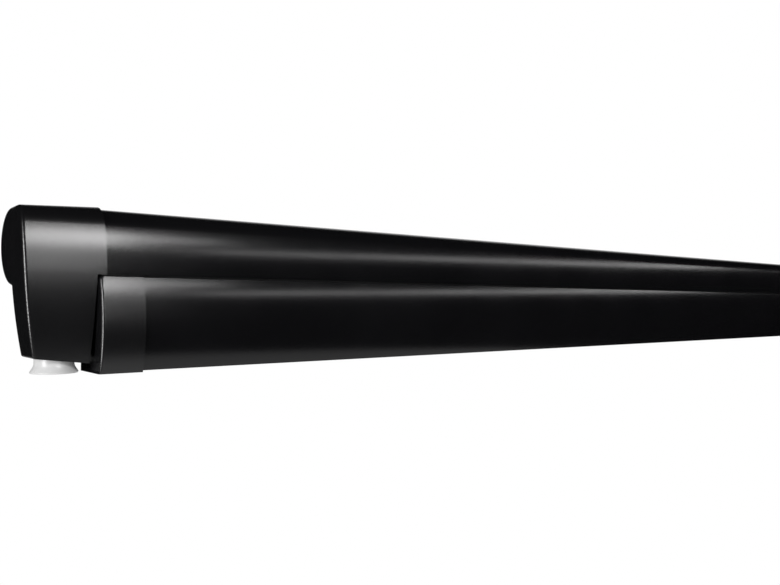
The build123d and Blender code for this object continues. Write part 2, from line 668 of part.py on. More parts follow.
def roller_tube():
    """The fabric tube with its rolled-in groove for the rear hem."""
    ring = Circle(TUBE_RADIUS) - Circle(TUBE_RADIUS - TUBE_WALL)
    pocket_centre = Pos(0, TUBE_WALL + TUBE_GROOVE - TUBE_RADIUS)
    ring += pocket_centre * Circle(TUBE_GROOVE + TUBE_WALL)
    ring -= pocket_centre * Circle(TUBE_GROOVE)
    ring -= Pos(0, -TUBE_RADIUS) * Rectangle(TUBE_GROOVE, 2 * TUBE_WALL + TUBE_GROOVE)
    ring &= Circle(TUBE_RADIUS)
    return run(Pos(HEAD_Y, HEAD_Z) * ring, LEFT_END + TUBE_START_U, -LEFT_END - TUBE_START_U)


def fabric_roll():
    """The wound awning cloth on its tube."""
    ring = Circle(ROLL_RADIUS) - Circle(TUBE_RADIUS + ROLL_FIT)
    return run(Pos(HEAD_Y, HEAD_Z) * ring, LEFT_END + ROLL_START_U, -LEFT_END - ROLL_START_U)


def roller_plug(journal_end_u):
    """A plug in the tube's end, with its flange and a journal out to the bearing."""
    start = LEFT_END + TUBE_START_U
    core = TUBE_RADIUS - GROOVE_ROOM
    body = rod_x(start, start + PLUG_DEPTH, HEAD_Y, HEAD_Z, core)
    ring = Pos(HEAD_Y, HEAD_Z) * (Circle(TUBE_RADIUS - TUBE_WALL - ROLL_FIT) - Circle(core))
    notch = Pos(HEAD_Y, HEAD_Z - TUBE_RADIUS) * Rectangle(2 * GROOVE_ROOM, 2 * GROOVE_ROOM)
    body += run(ring - notch, start, start + PLUG_DEPTH)
    body += rod_x(start - PLUG_FLANGE, start, HEAD_Y, HEAD_Z, TUBE_RADIUS)
    return body + rod_x(LEFT_END + journal_end_u, start, HEAD_Y, HEAD_Z, JOURNAL_RADIUS)


def bearing_plate():
    """The round plate in the end cap that carries the roller's journal."""
    x0 = LEFT_END + BEARING_PLATE_U
    disc = rod_x(x0, x0 + BEARING_PLATE_THICK, HEAD_Y, HEAD_Z, HEAD_RADIUS + CAP_PROUD - CAP_TAPER - CAP_WALL)
    return disc - rod_x(x0 - OVERRUN, x0 + OVERRUN, HEAD_Y, HEAD_Z, JOURNAL_RADIUS + SHAFT_FIT)


def tooth_half_angle(radius):
    """Half the turn that a worm thread takes up on a cross section, at a radius."""
    lead = pi * GEAR_MODULE * WORM_STARTS
    half_width = TOOTH_SHARE * pi * GEAR_MODULE / 2 - (radius - WORM_PITCH_RADIUS) * tan(radians(FLANK_ANGLE))
    return 360 * half_width / lead


def worm_section():
    """The worm's cross section, square to its axis: one lobe for each start."""
    tip = WORM_PITCH_RADIUS + GEAR_MODULE
    root = WORM_PITCH_RADIUS - DEDENDUM_SHARE * GEAR_MODULE
    radii = [root + (tip - root) * step / FLANK_STEPS for step in range(FLANK_STEPS + 1)]
    pitch = 360 / WORM_STARTS
    edges = []
    for start in range(WORM_STARTS):
        middle = pitch * start
        rising = [polar((0, 0), radius, middle - tooth_half_angle(radius)) for radius in radii]
        falling = [polar((0, 0), radius, middle + tooth_half_angle(radius)) for radius in reversed(radii)]
        crest = arc((0, 0), tip, middle - tooth_half_angle(tip), middle + tooth_half_angle(tip))
        valley = arc((0, 0), root, middle + tooth_half_angle(root), middle + pitch - tooth_half_angle(root))
        edges += [Spline(*rising), crest, Spline(*falling), valley]
    return make_face(edges)


def worm_shaft():
    """The crank shaft: a two-start worm thread at the roller's height, and a plain shaft down to the bell."""
    lead = pi * GEAR_MODULE * WORM_STARTS
    spine = Line((0, 0, 0), (0, 0, WORM_LENGTH))
    turn = Helix(pitch=lead, height=WORM_LENGTH, radius=WORM_PITCH_RADIUS)
    thread = sweep(worm_section(), path=spine, binormal=turn)
    phase = 90 - 360 * WORM_LENGTH / 2 / lead
    thread = Pos(GEAR_X, WORM_Y, HEAD_Z - WORM_LENGTH / 2) * Rot(Z=phase) * thread
    upper = rod_z(GEAR_X, WORM_Y, HEAD_Z, WORM_SHAFT_TOP_Z, WORM_SHAFT_RADIUS)
    lower = rod_z(GEAR_X, WORM_Y, BELL_TOP_Z, HEAD_Z, WORM_SHAFT_RADIUS)
    return thread + upper + lower


def wheel_tooth_half(radius):
    """Half the angle that a wheel's tooth takes up at a radius."""
    half_width = TOOTH_SHARE * pi * GEAR_MODULE / 2 - (radius - WHEEL_PITCH_RADIUS) * tan(radians(FLANK_ANGLE))
    return degrees(half_width / radius)


def wheel_section():
    """The worm wheel's teeth in its own plane."""
    root = WHEEL_PITCH_RADIUS - DEDENDUM_SHARE * GEAR_MODULE
    radii = (root, WHEEL_PITCH_RADIUS, WHEEL_PITCH_RADIUS + GEAR_MODULE)
    pitch = 360 / WHEEL_TEETH
    corners = []
    for tooth in range(WHEEL_TEETH):
        middle = pitch * (tooth + 1 / 2)
        corners += [polar((0, 0), radius, middle - wheel_tooth_half(radius)) for radius in radii]
        corners += [polar((0, 0), radius, middle + wheel_tooth_half(radius)) for radius in reversed(radii)]
    return outline(corners)


def worm_wheel():
    """The wheel on the roller's journal, its teeth slanted to the worm's lead."""
    lead_slope = WORM_STARTS * GEAR_MODULE / (2 * WORM_PITCH_RADIUS)
    twist = degrees(WHEEL_WIDTH * lead_slope / WHEEL_PITCH_RADIUS)
    teeth = Solid.extrude_linear_with_rotation(wheel_section().face(), (0, 0, 0), (0, 0, WHEEL_WIDTH), twist)
    teeth = Pos(Z=-WHEEL_WIDTH / 2) * Rot(Z=-twist / 2) * teeth
    teeth = Plane((GEAR_X, HEAD_Y, HEAD_Z), x_dir=(0, -1, 0), z_dir=(1, 0, 0)) * teeth
    hub = rod_x(GEAR_X - HUB_WIDTH / 2, GEAR_X + HUB_WIDTH / 2, HEAD_Y, HEAD_Z, HUB_RADIUS)
    return teeth + hub - rod_x(GEAR_X - OVERRUN, GEAR_X + OVERRUN, HEAD_Y, HEAD_Z, JOURNAL_RADIUS)


def gearbox_housing():
    """The housing round the gear pair: a drum for the wheel crossed by a barrel for the worm."""
    wheel_space = WHEEL_PITCH_RADIUS + GEAR_MODULE + HOUSING_GAP
    worm_space = WORM_PITCH_RADIUS + GEAR_MODULE + HOUSING_GAP
    x0, x1 = LEFT_END + HOUSING_START_U, LEFT_END + BEARING_PLATE_U
    z0, z1 = HEAD_Z - WORM_LENGTH / 2 - HOUSING_GAP, HEAD_Z + WORM_LENGTH / 2 + HOUSING_GAP
    form = rod_x(x0, x1, HEAD_Y, HEAD_Z, wheel_space + HOUSING_WALL)
    form += rod_z(GEAR_X, WORM_Y, z0 - 2 * HOUSING_WALL, z1 + 2 * HOUSING_WALL, worm_space + HOUSING_WALL)
    form -= rod_x(x0 + HOUSING_WALL, x1 - HOUSING_WALL, HEAD_Y, HEAD_Z, wheel_space)
    form -= rod_z(GEAR_X, WORM_Y, z0, z1, worm_space)
    form -= rod_x(x0 - OVERRUN, x1 + OVERRUN, HEAD_Y, HEAD_Z, JOURNAL_RADIUS + SHAFT_FIT)
    return form - rod_z(GEAR_X, WORM_Y, z0 - OVERRUN, z1 + OVERRUN, WORM_SHAFT_RADIUS + SHAFT_FIT)


def crank_bell():
    """The bell under the end cap that guides the crank's hook to the bar across it."""
    inner = BELL_NECK_RADIUS - BELL_WALL
    rim_inner = BELL_RADIUS - BELL_WALL
    ceiling = BELL_TOP_Z - BELL_CEILING
    bead_radius = BELL_RADIUS - BELL_RIM_ROUND / 2
    bead_top = (bead_radius, BELL_RIM_TOP_Z - BELL_RIM_ROUND / 2)
    bead_foot = (bead_radius, BELL_BOTTOM_Z)
    shoulder = (BELL_NECK_RADIUS, BELL_RIM_TOP_Z)
    outer_side = [
        Polyline((0, ceiling), (0, BELL_TOP_Z), (BELL_NECK_RADIUS, BELL_TOP_Z), shoulder, bead_top),
        ThreePointArc(bead_top, (BELL_RADIUS, (BELL_RIM_TOP_Z + BELL_BOTTOM_Z) / 2), bead_foot),
        Polyline(bead_foot, (rim_inner, BELL_BOTTOM_Z), (inner, BELL_RIM_TOP_Z), (inner, ceiling), (0, ceiling)),
    ]
    body = revolve(Plane.XZ * make_face(outer_side), Axis.Z)
    bar = rod_x(-inner - BELL_WALL / 2, inner + BELL_WALL / 2, 0, CRANK_BAR_Z, CRANK_BAR_RADIUS)
    return Pos(GEAR_X, WORM_Y, 0) * (body + bar)


def leg_place(lane_y, side):
    """Move a left-hand leg piece, drawn on the lane's middle, to its lane and its end."""
    return lambda shape: Pos(Y=lane_y) * (shape if side < 0 else other_side(shape))


def leg_tube():
    """The outer tube of a leg."""
    face = Pos(0, LEG_Z) * tube_face(LEG_WIDTH, LEG_HEIGHT, LEG_WALL, LEG_CORNER)
    return run(face, LEG_PIVOT_X + LEG_TUBE_START, LEG_END_X - COLLAR_LENGTH)


def leg_inner_size():
    """Width and height of the inner tube."""
    inset = 2 * (LEG_WALL + LEG_SLIDE_FIT)
    return LEG_WIDTH - inset, LEG_HEIGHT - inset


def leg_head():
    """The casting at the top of a leg: a round knuckle and a plug in the outer tube."""
    pivot = LEG_PIVOT_X
    width, height = leg_inner_size()
    knuckle = rod_y(pivot, -LEG_KNUCKLE_WIDTH / 2, LEG_KNUCKLE_WIDTH / 2, LEG_Z, LEG_KNUCKLE_RADIUS)
    neck = box(pivot, pivot + LEG_TUBE_START, -LEG_KNUCKLE_WIDTH / 2, LEG_KNUCKLE_WIDTH / 2,
               LEG_Z - height / 2, LEG_Z + height / 2)
    flange_face = Pos(0, LEG_Z) * RectangleRounded(LEG_WIDTH, LEG_HEIGHT, LEG_CORNER)
    flange = run(flange_face, pivot + LEG_KNUCKLE_RADIUS + CHEEK_THICK, pivot + LEG_TUBE_START)
    plug_face = Pos(0, LEG_Z) * RectangleRounded(width, height, LEG_CORNER - LEG_WALL)
    plug = run(plug_face, pivot + LEG_TUBE_START, pivot + LEG_TUBE_START + LEG_PLUG_REACH)
    bore = rod_y(pivot, -LEG_WIDTH, LEG_WIDTH, LEG_Z, LEG_PIN_RADIUS + PIN_FIT)
    return knuckle + neck + flange + plug - bore


def leg_collar():
    """The moulded end of the outer tube, with two ears for the lock lever."""
    face = Pos(0, LEG_Z) * tube_face(LEG_WIDTH, LEG_HEIGHT, LEG_WALL, LEG_CORNER)
    body = run(face, LEG_END_X - COLLAR_LENGTH, LEG_END_X)
    lever_x = LEG_END_X - COLLAR_LENGTH / 2
    for side in (-1, 1):
        y0, y1 = sorted((side * (LEVER_WIDTH / 2 + CHEEK_GAP), side * (LEVER_WIDTH / 2 + LEVER_EAR_RADIUS)))
        body += box(lever_x - LEVER_EAR_RADIUS, lever_x + LEVER_EAR_RADIUS, y0, y1,
                    LEVER_PIVOT_Z, LEG_Z - LEG_HEIGHT / 2 + LEG_WALL / 2)
        body += rod_y(lever_x, y0, y1, LEVER_PIVOT_Z, LEVER_EAR_RADIUS)
    return body + rod_y(lever_x, -LEVER_WIDTH / 2 - LEVER_EAR_RADIUS, LEVER_WIDTH / 2 + LEVER_EAR_RADIUS,
                        LEVER_PIVOT_Z, LEVER_PIN_RADIUS)


def leg_lock():
    """The lock lever under the outer tube's end."""
    lever_x = LEG_END_X - COLLAR_LENGTH / 2
    hub = rod_y(lever_x, -LEVER_WIDTH / 2, LEVER_WIDTH / 2, LEVER_PIVOT_Z, LEVER_EAR_RADIUS - PIN_FIT)
    top = LEVER_PIVOT_Z + LEVER_THICK / 2
    blade = box(lever_x - LEVER_LENGTH, lever_x, -LEVER_WIDTH / 2, LEVER_WIDTH / 2, top - LEVER_THICK, top)
    tips = blade.edges().filter_by(Axis.Z).group_by(Axis.X)[0]
    blade = fillet(tips, LEVER_TIP_ROUND)
    bore = rod_y(lever_x, -LEVER_WIDTH, LEVER_WIDTH, LEVER_PIVOT_Z, LEVER_PIN_RADIUS + PIN_FIT)
    return hub + blade - bore


def leg_inner():
    """The inner tube that slides out of the outer one."""
    width, height = leg_inner_size()
    face = Pos(0, LEG_Z) * tube_face(width, height, LEG_WALL, LEG_CORNER - LEG_WALL)
    return run(face, LEG_PIVOT_X + LEG_INNER_START, LEG_INNER_END_X)


def foot_fork():
    """The fitting in the end of the inner tube, with two cheeks for the foot's pin."""
    width, height = leg_inner_size()
    tube_end = LEG_INNER_END_X
    fit = 2 * (LEG_WALL + ARM_PLUG_FIT)
    plug_face = Pos(0, LEG_Z) * RectangleRounded(width - fit, height - fit, FORK_PLUG_CORNER)
    body = run(plug_face, tube_end - LEG_PLUG_REACH, tube_end)
    cap_face = Pos(0, LEG_Z) * RectangleRounded(width, height, LEG_CORNER - LEG_WALL)
    body += run(cap_face, tube_end, tube_end + CHEEK_THICK)
    for side in (-1, 1):
        y0, y1 = sorted((side * (FOOT_LUG_WIDTH / 2 + CHEEK_GAP), side * width / 2))
        body += box(tube_end, FOOT_X, y0, y1, LEG_Z - FOOT_CHEEK_RADIUS, LEG_Z + FOOT_CHEEK_RADIUS)
        body += rod_y(FOOT_X, y0, y1, LEG_Z, FOOT_CHEEK_RADIUS)
    return body + rod_y(FOOT_X, -width / 2, width / 2, LEG_Z, LEG_PIN_RADIUS)


def leg_foot():
    """The foot: a lug on the pin, a neck and a sole that lies along the leg when stowed."""
    x = FOOT_X
    lug = rod_y(x, -FOOT_LUG_WIDTH / 2, FOOT_LUG_WIDTH / 2, LEG_Z, FOOT_LUG_RADIUS)
    sole_top = LEG_Z - FOOT_SOLE_DROP
    neck = box(x - FOOT_LUG_RADIUS, x + FOOT_LUG_RADIUS, -FOOT_LUG_WIDTH / 2, FOOT_LUG_WIDTH / 2,
               sole_top, LEG_Z)
    sole = box(x - FOOT_SOLE_BACK, x + FOOT_SOLE_FRONT, -FOOT_SOLE_WIDTH / 2, FOOT_SOLE_WIDTH / 2,
               sole_top - FOOT_SOLE_THICK, sole_top)
    sole = fillet(sole.edges().filter_by(Axis.Z), FOOT_SOLE_THICK)
    bore = rod_y(x, -FOOT_SOLE_WIDTH, FOOT_SOLE_WIDTH, LEG_Z, LEG_PIN_RADIUS + PIN_FIT)
    return lug + neck + sole - bore


def leg_bracket():
    """The bracket under the lead rail's floor that carries a leg between two cheeks, with its pin."""
    pivot = LEG_PIVOT_X
    ceiling = RAIL_FLOOR_TOP_Z - RAIL_WALL
    inner = LEG_KNUCKLE_WIDTH / 2 + CHEEK_GAP
    outer = inner + CHEEK_THICK
    bridge = LEG_Z + LEG_KNUCKLE_RADIUS + CHEEK_GAP
    body = box(pivot - CHEEK_RADIUS, pivot + CHEEK_RADIUS, -outer, outer, bridge, ceiling)
    for side in (-1, 1):
        y0, y1 = sorted((side * inner, side * outer))
        body += box(pivot - CHEEK_RADIUS, pivot + CHEEK_RADIUS, y0, y1, LEG_Z, ceiling)
        body += rod_y(pivot, y0, y1, LEG_Z, CHEEK_RADIUS)
    return body + rod_y(pivot, -outer, outer, LEG_Z, LEG_PIN_RADIUS)


def sector(centre, radius, start, stop):
    """A wedge of a section between two angles, less than half a turn apart, out past a radius."""
    reach = radius / cos(radians((stop - start) / 4)) + OVERRUN
    rim = [polar(centre, reach, angle) for angle in (start, (start + stop) / 2, stop)]
    return outline([centre, *rim])


def bracket_section():
    """A wall bracket's drawn section: wall plate, saddle round the head, brace, clamp lip below."""
    head = (HEAD_Y, HEAD_Z)
    inner = HEAD_RADIUS + BRACKET_FIT
    ring = Pos(*head) * (Circle(inner + BRACKET_HOOK) - Circle(inner))
    saddle = (ring & sector(head, inner, 0, BRACKET_HOOK_ANGLE)) + (ring & sector(head, inner, -90, 0))
    front = REAR_WALL_Y + BRACKET_FIT
    plate = block(-BRACKET_PLATE, 0, BRACKET_BOTTOM_Z, BRACKET_TOP_Z)
    wall = block(front, front + BRACKET_WEB, BRACKET_BOTTOM_Z, HEAD_Z - inner)
    floor = block(front, 0, BRACKET_BOTTOM_Z, BRACKET_BOTTOM_Z + BRACKET_WEB)
    lip = block(REAR_WALL_Y - CASSETTE_WALL, front, BRACKET_BOTTOM_Z, REAR_WALL_BOTTOM_Z - BRACKET_FIT)
    brace_foot = BRACKET_BOTTOM_Z + BRACKET_WEB / 2
    brace_head = BRACKET_BOTTOM_Z + BRACKET_BRACE_RISE
    brace = outline([
        (front + BRACKET_WEB, brace_foot), (-BRACKET_PLATE, brace_head),
        (-BRACKET_PLATE, brace_head + BRACKET_HOOK), (front + BRACKET_WEB, brace_foot + BRACKET_HOOK),
    ])
    body = saddle + plate + wall + floor + lip + brace
    bead_top = REAR_WALL_BOTTOM_Z + BEAD_HEIGHT + BRACKET_FIT
    bead_room = block(front - BRACKET_FIT, REAR_WALL_Y + BEAD_DEPTH + BRACKET_FIT,
                      REAR_WALL_BOTTOM_Z - BRACKET_FIT, bead_top)
    return body - bead_room - Pos(*head) * Circle(inner)


def bracket_places():
    """The middles of the wall brackets along the awning."""
    first = LEFT_END + BRACKET_END_ROOM
    spacing = -2 * first / (BRACKET_COUNT - 1)
    return [first + spacing * index for index in range(BRACKET_COUNT)]


def wall_bracket(x):
    """One wall bracket with its two screw holes and the access holes in front of them."""
    body = run(bracket_section(), x - BRACKET_WIDTH / 2, x + BRACKET_WIDTH / 2)
    for side in (-1, 1):
        hole_x = x + side * WALL_HOLE_SPACING / 2
        body -= rod_y(hole_x, -BRACKET_PLATE, OVERRUN, WALL_HOLE_Z, WALL_HOLE_RADIUS)
        body -= rod_y(hole_x, REAR_WALL_Y - OVERRUN, -BRACKET_PLATE, WALL_HOLE_Z, ACCESS_HOLE_RADIUS)
    bottom = BRACKET_BOTTOM_Z - OVERRUN
    return body - rod_z(x, clamp_screw_y(), bottom, REAR_WALL_BOTTOM_Z, SCREW_RADIUS + SHAFT_FIT)


def clamp_screw_y():
    """The clamp screws stand under the middle of the cassette's bead."""
    return REAR_WALL_Y + (BEAD_DEPTH - CASSETTE_WALL) / 2


def clamp_screw(x):
    """A screw up through a wall bracket that presses against the cassette's bead."""
    y = clamp_screw_y()
    head = rod_z(x, y, BRACKET_BOTTOM_Z - SCREW_HEAD_HEIGHT, BRACKET_BOTTOM_Z, SCREW_HEAD_RADIUS)
    return head + rod_z(x, y, BRACKET_BOTTOM_Z, REAR_WALL_BOTTOM_Z, SCREW_RADIUS)


def fabric_free():
    """The short flat stretch of cloth from the roll to the lead rail while the awning is closed."""
    roll_foot = HEAD_Z - ROLL_RADIUS - FABRIC_GAP
    rail_y = KEDER_Y + KEDER_WALL_RADIUS + FABRIC_GAP
    face = outline([
        (HEAD_Y, roll_foot), (rail_y, KEDER_Z + FABRIC_THICK / 2),
        (rail_y, KEDER_Z - FABRIC_THICK / 2), (HEAD_Y, roll_foot - FABRIC_THICK),
    ])
    return run(face, LEFT_END + ROLL_START_U, -LEFT_END - ROLL_START_U)


def both_ends(name, shape):
    """A left-hand piece and its right-hand copy under their two names."""
    return {f"left_{name}": shape, f"right_{name}": other_side(shape)}


def build_cassette():
    """Every piece that stays on the wall."""
    cap = end_cap()
    pins = pin_with_heads(SHOULDER_X, SHOULDER_Y, knuckle_ear_half())
    nodes = {
        "cassette_body": cassette_body(),
        "hood_seal": hood_seal(),
        "left_end_cap": cap - bell_port(),
        "right_end_cap": other_side(cap),
        "gearbox_housing": gearbox_housing(),
        "wall_brackets": Compound([wall_bracket(x) for x in bracket_places()]),
        "bracket_screws": Compound([clamp_screw(x) for x in bracket_places()]),
        "shoulder_pins": Compound([pins, other_side(pins)]),
        "fabric_free": fabric_free(),
    }
    nodes |= both_ends("shoulder_bracket", shoulder_bracket())
    nodes |= both_ends("roller_bearing", bearing_plate())
    return nodes


def build_roller():
    """The roller with the wound cloth and the driven wheel."""
    return {
        "roller_tube": roller_tube(),
        "fabric_roll": fabric_roll(),
        "roller_drive_plug": roller_plug(JOURNAL_END_U),
        "roller_idler_plug": other_side(roller_plug(BEARING_PLATE_U)),
        "worm_wheel": worm_wheel(),
        "worm_shaft": worm_shaft(),
        "crank_bell": crank_bell(),
    }


def build_arms():
    """Both folding arms."""
    upper = arm_tube(SHOULDER_Y, SHOULDER_X + ARM_TUBE_START, arm_tube_end())
    fore = arm_tube(WRIST_Y, SHOULDER_X + ARM_TUBE_START, arm_tube_end())
    fork = elbow_casting(SHOULDER_Y, ELBOW_EYE_HALF + EAR_GAP, elbow_ear_half())
    eye = elbow_casting(WRIST_Y, 0, ELBOW_EYE_HALF)
    nodes = both_ends("upper_arm_tube", upper)
    nodes |= both_ends("shoulder_knuckle", end_knuckle(SHOULDER_Y))
    nodes |= both_ends("elbow_fork", fork)
    nodes |= both_ends("elbow_pin", pin_with_heads(ELBOW_X, ELBOW_Y, elbow_ear_half()))
    nodes |= both_ends("arm_spring", arm_spring())
    nodes |= both_ends("forearm_tube", fore)
    nodes |= both_ends("elbow_eye", eye)
    nodes |= both_ends("wrist_knuckle", end_knuckle(WRIST_Y))
    return nodes


def build_lead_rail():
    """The lead rail with what is fixed to it."""
    pins = headed_pin(SHOULDER_X, WRIST_Y, knuckle_ear_half())
    nodes = {
        "lead_rail_body": lead_rail_body(),
        "fabric_keder": fabric_keder(),
        "wrist_pins": Compound([pins, other_side(pins)]),
    }
    nodes |= both_ends("lead_rail_cap", lead_rail_cap())
    nodes |= both_ends("wrist_bracket", wrist_bracket())
    return nodes


def build_legs():
    """Both telescopic legs, one in each lane of the lead rail."""
    pieces = {
        "leg_bracket": leg_bracket(),
        "leg_head": leg_head(),
        "leg_tube": leg_tube(),
        "leg_collar": leg_collar(),
        "leg_lock": leg_lock(),
        "leg_inner": leg_inner(),
        "foot_fork": foot_fork(),
        "foot": leg_foot(),
    }
    nodes = {}
    for side, word, lane_y in ((-1, "left", FRONT_LANE_Y), (1, "right", REAR_LANE_Y)):
        place = leg_place(lane_y, side)
        nodes |= {f"{word}_{name}": place(shape) for name, shape in pieces.items()}
    return nodes


def main():
    """Build every node and write it to its own file."""
    os.makedirs("parts", exist_ok=True)
    nodes = build_cassette() | build_roller() | build_arms() | build_lead_rail() | build_legs()
    for name, shape in nodes.items():
        export_step(shape, f"parts/{name}.step")
    print(len(nodes), "nodes written")


main()
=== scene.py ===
"""Looks of a roll-out cassette awning: drawn sections, caps, folding arms, cloth, legs and the studio.

Sizes are in millimetres in the part's own frame, as in its source: X runs along the awning, the front is -Y,
the wall is +Y and up is +Z. Meshes are built in that frame and scaled to metres at the end.
"""

import json
import logging
import math
from collections.abc import Callable
from dataclasses import dataclass
from enum import Enum

import bmesh
import bpy
from mathutils import Matrix, Vector

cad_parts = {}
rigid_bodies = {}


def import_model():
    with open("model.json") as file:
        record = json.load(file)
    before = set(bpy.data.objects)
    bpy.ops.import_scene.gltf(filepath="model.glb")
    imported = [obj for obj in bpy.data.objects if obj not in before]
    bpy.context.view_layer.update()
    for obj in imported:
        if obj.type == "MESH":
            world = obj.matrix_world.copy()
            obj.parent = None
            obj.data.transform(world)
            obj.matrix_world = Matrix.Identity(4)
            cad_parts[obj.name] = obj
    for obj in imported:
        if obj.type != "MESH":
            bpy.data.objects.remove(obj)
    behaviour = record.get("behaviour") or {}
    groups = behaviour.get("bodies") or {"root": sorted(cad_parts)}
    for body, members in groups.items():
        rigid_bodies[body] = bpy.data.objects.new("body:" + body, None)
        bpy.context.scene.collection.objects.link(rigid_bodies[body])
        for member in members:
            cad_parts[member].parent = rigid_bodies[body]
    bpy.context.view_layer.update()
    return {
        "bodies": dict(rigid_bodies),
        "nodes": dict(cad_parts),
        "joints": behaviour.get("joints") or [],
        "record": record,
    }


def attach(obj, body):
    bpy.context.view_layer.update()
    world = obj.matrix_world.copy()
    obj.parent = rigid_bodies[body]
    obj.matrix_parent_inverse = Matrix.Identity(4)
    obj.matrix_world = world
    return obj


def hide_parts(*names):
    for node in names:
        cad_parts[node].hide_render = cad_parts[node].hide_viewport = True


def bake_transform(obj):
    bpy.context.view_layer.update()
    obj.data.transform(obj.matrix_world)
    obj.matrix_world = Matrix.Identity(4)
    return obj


LOG = logging.getLogger("awning")
MM = 0.001
MERGE_MM = 0.0001
NODE_MERGE_M = 0.5e-5
MIX_FACTOR, MIX_FIRST, MIX_SECOND, MIX_RESULT = 0, 6, 7, 2
CREASE = 32.0
Point = tuple[float, float]
Triple = tuple[float, float, float]
Tree = bpy.types.NodeTree
Node = bpy.types.Node
Socket = bpy.types.NodeSocket
Source = Socket | float | Triple
Shape = bmesh.types.BMesh
Thing = bpy.types.Object


class Side(Enum):
    """An end of the awning, seen from the front."""

    LEFT = -1
    RIGHT = 1

    @property
    def word(self) -> str:
        """The side's name as the bodies and nodes spell it."""
        return self.name.lower()


class Grain(Enum):
    """The kind of fine surface that a finish has."""

    POWDER = "powder"
    MOULDED = "moulded"
    BRUSHED = "brushed"
    CAST = "cast"
    WOVEN = "woven"


@dataclass(frozen=True)
class Finish:
    """One surface finish: what it is made of and how fine its texture is."""

    name: str
    colour: Triple
    roughness: float
    grain: Grain
    grain_per_m: float
    grain_depth_mm: float
    metallic: float = 0.0
    specular: float = 0.5
    tone_change: float = 0.12
    roughness_change: float = 0.06
    dust: float = 0.0


SLOT_FINISHES: dict[str, Finish] = {
    "black_profile": Finish("powder_black", (0.0026, 0.0026, 0.003), 0.17, Grain.POWDER, 900.0, 0.035,
                            specular=0.42, tone_change=0.1, roughness_change=0.02, dust=0.004),
    "black_plastic": Finish("moulded_black", (0.0028, 0.0028, 0.0032), 0.245, Grain.MOULDED, 1500.0, 0.02,
                            specular=0.55, tone_change=0.1, roughness_change=0.02, dust=0.004),
    "black_arm": Finish("arm_black", (0.012, 0.012, 0.013), 0.42, Grain.POWDER, 900.0, 0.03),
    "cast_grey": Finish("cast_dark", (0.06, 0.06, 0.065), 0.5, Grain.CAST, 420.0, 0.12, metallic=0.6),
    "steel": Finish("zinc_steel", (0.56, 0.56, 0.57), 0.35, Grain.BRUSHED, 700.0, 0.01, metallic=1.0),
    "wall_bracket_aluminium": Finish("bracket_anodised", (0.035, 0.035, 0.037), 0.36, Grain.BRUSHED, 900.0,
                                     0.015, metallic=0.7),
    "leg_aluminium": Finish("leg_anodised", (0.6, 0.6, 0.61), 0.36, Grain.BRUSHED, 900.0, 0.012,
                            metallic=1.0),
    "grey_plastic": Finish("moulded_grey", (0.09, 0.09, 0.095), 0.48, Grain.MOULDED, 1200.0, 0.03),
    "foot_rubber": Finish("sole_rubber", (0.025, 0.025, 0.026), 0.72, Grain.MOULDED, 700.0, 0.06),
    "seal_rubber": Finish("seal_rubber", (0.014, 0.014, 0.015), 0.66, Grain.MOULDED, 900.0, 0.03),
    "cloth": Finish("cloth_grey", (0.2, 0.21, 0.22), 0.82, Grain.WOVEN, 900.0, 0.12, tone_change=0.03),
    "roller_steel": Finish("tube_mill", (0.62, 0.62, 0.63), 0.34, Grain.BRUSHED, 800.0, 0.012, metallic=1.0),
    "plug_plastic": Finish("nylon_pale", (0.7, 0.7, 0.66), 0.42, Grain.MOULDED, 900.0, 0.02),
    "bell_grey": Finish("bell_grey", (0.42, 0.42, 0.42), 0.36, Grain.MOULDED, 900.0, 0.02, tone_change=0.06),
}


def feed(tree: Tree, node: Node, inputs: dict[str | int, Source]) -> Node:
    """Link a node's inputs to their sources, or set them where a source is a plain value.

    Args:
        tree: The nodes.
        node: The node to feed.
        inputs: What each input takes: another node's output, a number, a colour or a vector.

    Returns:
        The node.
    """
    for key, source in inputs.items():
        socket = node.inputs[key]
        if isinstance(source, Socket):
            tree.links.new(source, socket)
        else:
            socket.default_value = (*source, 1.0) if socket.type == "RGBA" else source
    return node


def put(tree: Tree, kind: str, inputs: dict[str | int, Source]) -> Node:
    """Place a node and feed it.

    Args:
        tree: The nodes.
        kind: The node's type, without its common start.
        inputs: What each input takes.

    Returns:
        The node.
    """
    return feed(tree, tree.nodes.new(f"ShaderNode{kind}"), inputs)


def reckon(tree: Tree, operation: str, *sources: Source) -> Socket:
    """Place a Math node.

    Args:
        tree: The nodes.
        operation: What it does.
        sources: What its inputs take, in order.

    Returns:
        Its output.
    """
    node = put(tree, "Math", dict(enumerate(sources)))
    node.operation = operation
    return node.outputs["Value"]


